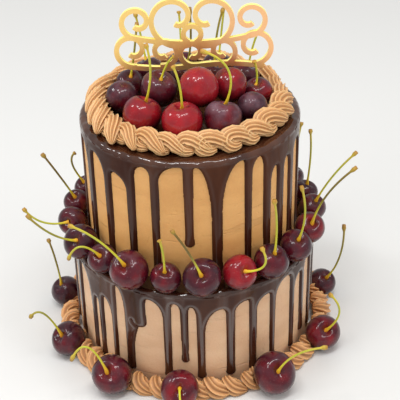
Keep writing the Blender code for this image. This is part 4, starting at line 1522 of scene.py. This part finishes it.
@dataclass
class ScrollTopper:
    """Gold scrollwork plate on one stick, with bright cut edges."""

    points: int = 44
    width: float = STROKE
    thickness: float = TOPPER_THICKNESS

    def _shares(self) -> list[float]:
        """Even shares from 0 to 1, one for each point of a stroke."""
        return [index / (self.points - 1) for index in range(self.points)]

    def _scroll(
        self, centre: tuple[float, float], outer: float, inner: float, start: float, turn: float
    ) -> Stroke:
        """Points of a spiral from its outer radius in to its inner one, angles in degrees."""
        points = []
        for share in self._shares():
            radius = outer + (inner - outer) * share
            angle = math.radians(start + turn * share)
            points.append((centre[0] + radius * math.cos(angle), centre[1] + radius * math.sin(angle)))
        return points

    def _wave(self, start: tuple[float, float], end: tuple[float, float], height: float) -> Stroke:
        """Points of one gentle S between two places."""
        run, rise = end[0] - start[0], end[1] - start[1]
        return [
            (start[0] + run * share, start[1] + rise * share + height * math.sin(2 * math.pi * share))
            for share in self._shares()
        ]

    def _hanging(self, middle: tuple[float, float], half: float, rise: float) -> Stroke:
        """Points of a shallow curve that is lowest in its middle."""
        sides = [2 * share - 1 for share in self._shares()]
        return [(middle[0] + half * side, middle[1] + rise * side * side) for side in sides]

    def _strokes(self) -> list[Stroke]:
        """Every stroke: a row of scrolls between two bars, with a heart and end curls on top."""
        bar, upper = BAR_Z, BAR_Z + BAR_SPACING
        strokes = [self._wave((-44, bar + 2), (52, bar), -2), self._hanging((3, upper), 44, 5.8)]
        for x, radius, turn in ROW_SCROLLS:
            start = -90 - math.copysign(ROW_LEAN, turn)
            strokes.append(self._scroll((x, bar + 1 + radius), radius, ROW_EYE * radius, start, turn))
        strokes += [
            self._scroll((-34, upper + 16), 12, 4, -100, -380),
            self._scroll((42, upper + 17), 12, 4, -80, 380),
            self._scroll((-8, upper + 18), 21.6, 4, -56.3, -400),
            self._scroll((14, upper + 18), 21.6, 4, -123.7, 400),
            self._scroll((3, upper + 6.5), 6, 6, -70, 320),
        ]
        return strokes

    def _ribbon(self, name: str, points: Stroke, width: float) -> bpy.types.Object:
        """Flat band along points in mm, solid through the plate's thickness."""
        shape = bmesh.new()
        last = len(points) - 1

        def place(column: int, row: int) -> Vector:
            """One corner of the band's front."""
            before, after = points[max(row - 1, 0)], points[min(row + 1, last)]
            along = Vector((after[0] - before[0], 0.0, after[1] - before[1])).normalized()
            across = Vector((-along.z, 0.0, along.x)) * width * (column - 0.5)
            return Vector((points[row][0], TOPPER_Y - self.thickness / 2, points[row][1])) + across

        place_grid(shape, 1, last, place)
        front = bmesh.ops.extrude_face_region(shape, geom=shape.faces[:])["geom"]
        moved = [item for item in front if isinstance(item, bmesh.types.BMVert)]
        bmesh.ops.translate(shape, verts=moved, vec=(0, self.thickness * MM, 0))
        bmesh.ops.recalc_face_normals(shape, faces=shape.faces)
        mesh = bpy.data.meshes.new(name)
        shape.to_mesh(mesh)
        shape.free()
        made = bpy.data.objects.new(name, mesh)
        bpy.context.scene.collection.objects.link(made)
        return made

    def _joined(self) -> bpy.types.Mesh:
        """All strokes and the stick as one closed mesh."""
        stick = [(STICK_X, GLAZE_UPPER_TOP - STICK_DEPTH), (STICK_X, BAR_Z + STROKE / 2)]
        target = self._ribbon("plate", stick, STICK_WIDTH)
        strokes = bpy.data.collections.new("strokes")
        bpy.context.scene.collection.children.link(strokes)
        parts = []
        for index, stroke in enumerate(self._strokes()):
            parts.append(self._ribbon(f"stroke_{index}", stroke, self.width))
            strokes.objects.link(parts[-1])
        union = target.modifiers.new("join", "BOOLEAN")
        union.operation, union.solver, union.operand_type = "UNION", "EXACT", "COLLECTION"
        union.collection = strokes
        seen = bpy.context.evaluated_depsgraph_get()
        mesh = bpy.data.meshes.new_from_object(target.evaluated_get(seen))
        for part in [*parts, target]:
            bpy.data.objects.remove(part)
        bpy.data.collections.remove(strokes)
        return mesh

    def build(self, face: bpy.types.Material, edge: bpy.types.Material) -> bpy.types.Object:
        """Make the piece."""
        mesh = self._joined()
        shape = bmesh.new()
        shape.from_mesh(mesh)
        bpy.data.meshes.remove(mesh)
        bmesh.ops.remove_doubles(shape, verts=shape.verts, dist=0.01 * MM)
        bmesh.ops.dissolve_limit(
            shape, angle_limit=math.radians(1.0), verts=shape.verts, edges=shape.edges, delimit={"NORMAL"}
        )
        bmesh.ops.recalc_face_normals(shape, faces=shape.faces)
        for side in shape.faces:
            side.material_index = 0 if abs(side.normal.y) > 0.5 else 1
        piece = piece_from("gold_topper", shape, [face, edge], Slot.GOLD, "topper")
        piece.data.set_sharp_from_angle(angle=math.radians(40.0))
        return piece


@dataclass(frozen=True)
class Lamp:
    """Square soft light that faces the cake, its place and size in metres and its power in watts.

    Shiny pieces mirror it only if that is wanted.
    """

    name: str
    place: Place
    size: float
    power: float
    colour: Colour = (1.0, 1.0, 1.0)
    mirrored: bool = False
    aim: Place = (0.0, 0.0, 0.12)

    def build(self) -> bpy.types.Object:
        """Make the lamp."""
        data = bpy.data.lights.new(self.name, "AREA")
        data.size, data.energy, data.color = self.size, self.power, self.colour
        lamp = bpy.data.objects.new(self.name, data)
        lamp.location = self.place
        lamp.rotation_mode = "QUATERNION"
        lamp.rotation_quaternion = (Vector(self.aim) - Vector(self.place)).to_track_quat("-Z", "Y")
        lamp.visible_glossy = self.mirrored
        bpy.context.scene.collection.objects.link(lamp)
        return lamp


SOFT_LAMPS = (
    Lamp("ceiling", (0.0, -0.15, 1.6), 1.1, 4.5, (1.0, 0.985, 0.95)),
    Lamp("window", (-1.5, -1.0, 0.9), 0.9, 8.0, (1.0, 0.99, 0.975)),
    Lamp("right_fill", (1.6, -0.6, 0.8), 0.9, 8.0, (1.0, 0.985, 0.96)),
)
# Small lamps that the fruit and the glaze mirror as glints: place in metres and power in watts
GLINTS = (
    ((-0.42, -0.70, 1.60), 3.6), ((0.02, -0.50, 1.70), 3.6), ((0.60, -0.20, 1.60), 2.4),
    ((-0.53, -0.18, 1.54), 3.0), ((-1.08, 0.18, 1.17), 3.0), ((0.30, -0.34, 1.66), 2.4),
)
GLINT_SIZE = 0.24


@dataclass
class Studio:
    """Floor, soft light and the camera of the photograph."""

    lens: float = 101.34
    sensor: float = 36.0
    place: Place = (5.696, -696.336, 543.256)
    pitch: float = 32.31
    roll: float = 1.36
    nearest: float = 0.05
    furthest: float = 20.0
    air: Colour = (1.0, 0.985, 0.96)
    air_strength: float = 0.55
    floor_size: float = 6.0
    floor_colours: tuple[Colour, Colour] = ((0.70, 0.705, 0.70), (0.72, 0.725, 0.72))

    def camera(self) -> None:
        """Camera that looks down at the front of the cake."""
        data = bpy.data.cameras.new("camera")
        data.lens, data.sensor_width = self.lens, self.sensor
        data.clip_start, data.clip_end = self.nearest, self.furthest
        made = bpy.data.objects.new("camera", data)
        pitch, roll = math.radians(self.pitch), math.radians(self.roll)
        forward = Vector((0, math.cos(pitch), -math.sin(pitch)))
        right = Vector((1, 0, 0))
        up = right.cross(forward)
        across = right * math.cos(roll) - up * math.sin(roll)
        above = up * math.cos(roll) + right * math.sin(roll)
        turned = Matrix((across, above, -forward)).transposed().to_4x4()
        made.matrix_world = Matrix.Translation(Vector(self.place) * MM) @ turned
        bpy.context.scene.collection.objects.link(made)
        bpy.context.scene.camera = made

    @staticmethod
    def lights() -> None:
        """Ceiling light, window light from the left, fill from the right and small lamps for the glints."""
        glints = [
            Lamp(f"glint_{number}", place, GLINT_SIZE, power, mirrored=True)
            for number, (place, power) in enumerate(GLINTS)
        ]
        for lamp in [*SOFT_LAMPS, *glints]:
            lamp.build()

    def world(self) -> None:
        """Even pale surroundings."""
        made = bpy.data.worlds.new("studio")
        made.use_nodes = True
        sky = made.node_tree.nodes["Background"]
        sky.inputs["Color"].default_value = (*self.air, 1.0)
        sky.inputs["Strength"].default_value = self.air_strength
        bpy.context.scene.world = made
        bpy.context.scene.view_settings.view_transform = "Standard"

    def floor(self) -> None:
        """Plain pale floor."""
        shape = bmesh.new()
        bmesh.ops.create_grid(shape, x_segments=2, y_segments=2, size=self.floor_size)
        mesh = bpy.data.meshes.new("floor")
        shape.to_mesh(mesh)
        shape.free()
        graph = Graph("pale_floor")
        grain = graph.speckle(3.0, 2.0)
        mesh.materials.append(graph.finish(Base_Color=graph.mix(grain, *self.floor_colours), Roughness=0.6))
        made = bpy.data.objects.new("floor", mesh)
        bpy.context.scene.collection.objects.link(made)


def build_cream() -> None:
    """The buttercream coats of both tiers."""
    drag = (1.0, 1.0, 2.5)
    lower = Buttercream("cream_lower_coat", (0.76, 0.50, 0.31), (0.66, 0.40, 0.235), drag, marks=0.30)
    upper = Buttercream("cream_upper_coat", (0.745, 0.400, 0.138), (0.645, 0.322, 0.100), drag, marks=0.30)
    CreamTier(
        "cream_lower", "tier_lower", LOWER_RADIUS, 0.0, LOWER_HEIGHT, LOWER_AXIS, Slot.CREAM_LOWER, lower
    ).build()
    CreamTier(
        "cream_upper", "tier_upper", UPPER_RADIUS, LOWER_HEIGHT + GAP, UPPER_TOP, UPPER_AXIS,
        Slot.CREAM_UPPER, upper,
    ).build()


def build_glaze() -> None:
    """The glaze on both tiers."""
    upper = Ganache("dark_glaze_upper", shine=0.10, streaks=0.12).material()
    lower = Ganache("dark_glaze_lower", shine=0.24, streaks=0.40).material()
    GlazeCoat(
        "glaze_coat_upper", "glaze_upper", UPPER_DRIPS, spread=17.0, seed=5,
        wall=UPPER_RADIUS, outer=UPPER_OUTER, top=GLAZE_UPPER_TOP, lowest=GLAZE_LOWER_TOP - 0.5,
        inner=0.0, axis=UPPER_AXIS, columns=640,
    ).build(upper)
    GlazeCoat(
        "glaze_coat_lower", "glaze_lower", LOWER_DRIPS, spread=16.5, seed=8,
        wall=LOWER_RADIUS, outer=LOWER_OUTER, top=GLAZE_LOWER_TOP, lowest=LOWER_FOOT,
        inner=LEDGE_INNER, axis=LOWER_AXIS, columns=740, wetness=0.85,
    ).build(lower)


def build_borders(leaning: Sequence[Cherry]) -> None:
    """The piped rope and the piped shells.

    Args:
        leaning: The cherries that lean on the shells.
    """
    # The last colour of each is painted shade for the grooves between the ridges.
    top = Buttercream(
        "piping_top", (0.78, 0.48, 0.235), (0.68, 0.395, 0.17), pitting=0.0001, painted_valley_shade=(0.39, 0.172, 0.056)
    )
    foot = Buttercream(
        "piping_base", (0.80, 0.44, 0.20), (0.68, 0.35, 0.145), pitting=0.0001, painted_valley_shade=(0.34, 0.150, 0.054)
    )
    PipedRing(
        "piped_rope", "border_top", ROPE_SCOOP, count=27, radius=65.4, base=GLAZE_UPPER_TOP + GAP,
        axis=UPPER_AXIS, seed=11, fan=18.0,
    ).build(top.material())
    PipedRing(
        "piped_shells", "border_base", SHELL_SCOOP, count=46, radius=LOWER_OUTER, base=0.0,
        axis=LOWER_AXIS, seed=12, fan=22.0, steps=18, keep_clear=leaning,
        fan_azimuth=317.0, fan_spread=14.0, swell=0.16,
    ).build(foot.material())


def main() -> None:
    """Build the studio and every piece of the cake."""
    logging.basicConfig(level=logging.INFO, format="%(message)s")
    studio = Studio()
    studio.camera()
    studio.lights()
    studio.world()
    studio.floor()
    layout = CherryLayout()
    base = layout.base()
    build_cream()
    build_glaze()
    build_borders(base)
    ScrollTopper().build(GoldMirror().material(), CutEdge().material())
    skins = [CherrySkin().material(), StemSkin().material()]
    for cherry in [*base, *layout.ledge(), *layout.heap()]:
        cherry.build(skins)


if __name__ == "__main__":
    main()
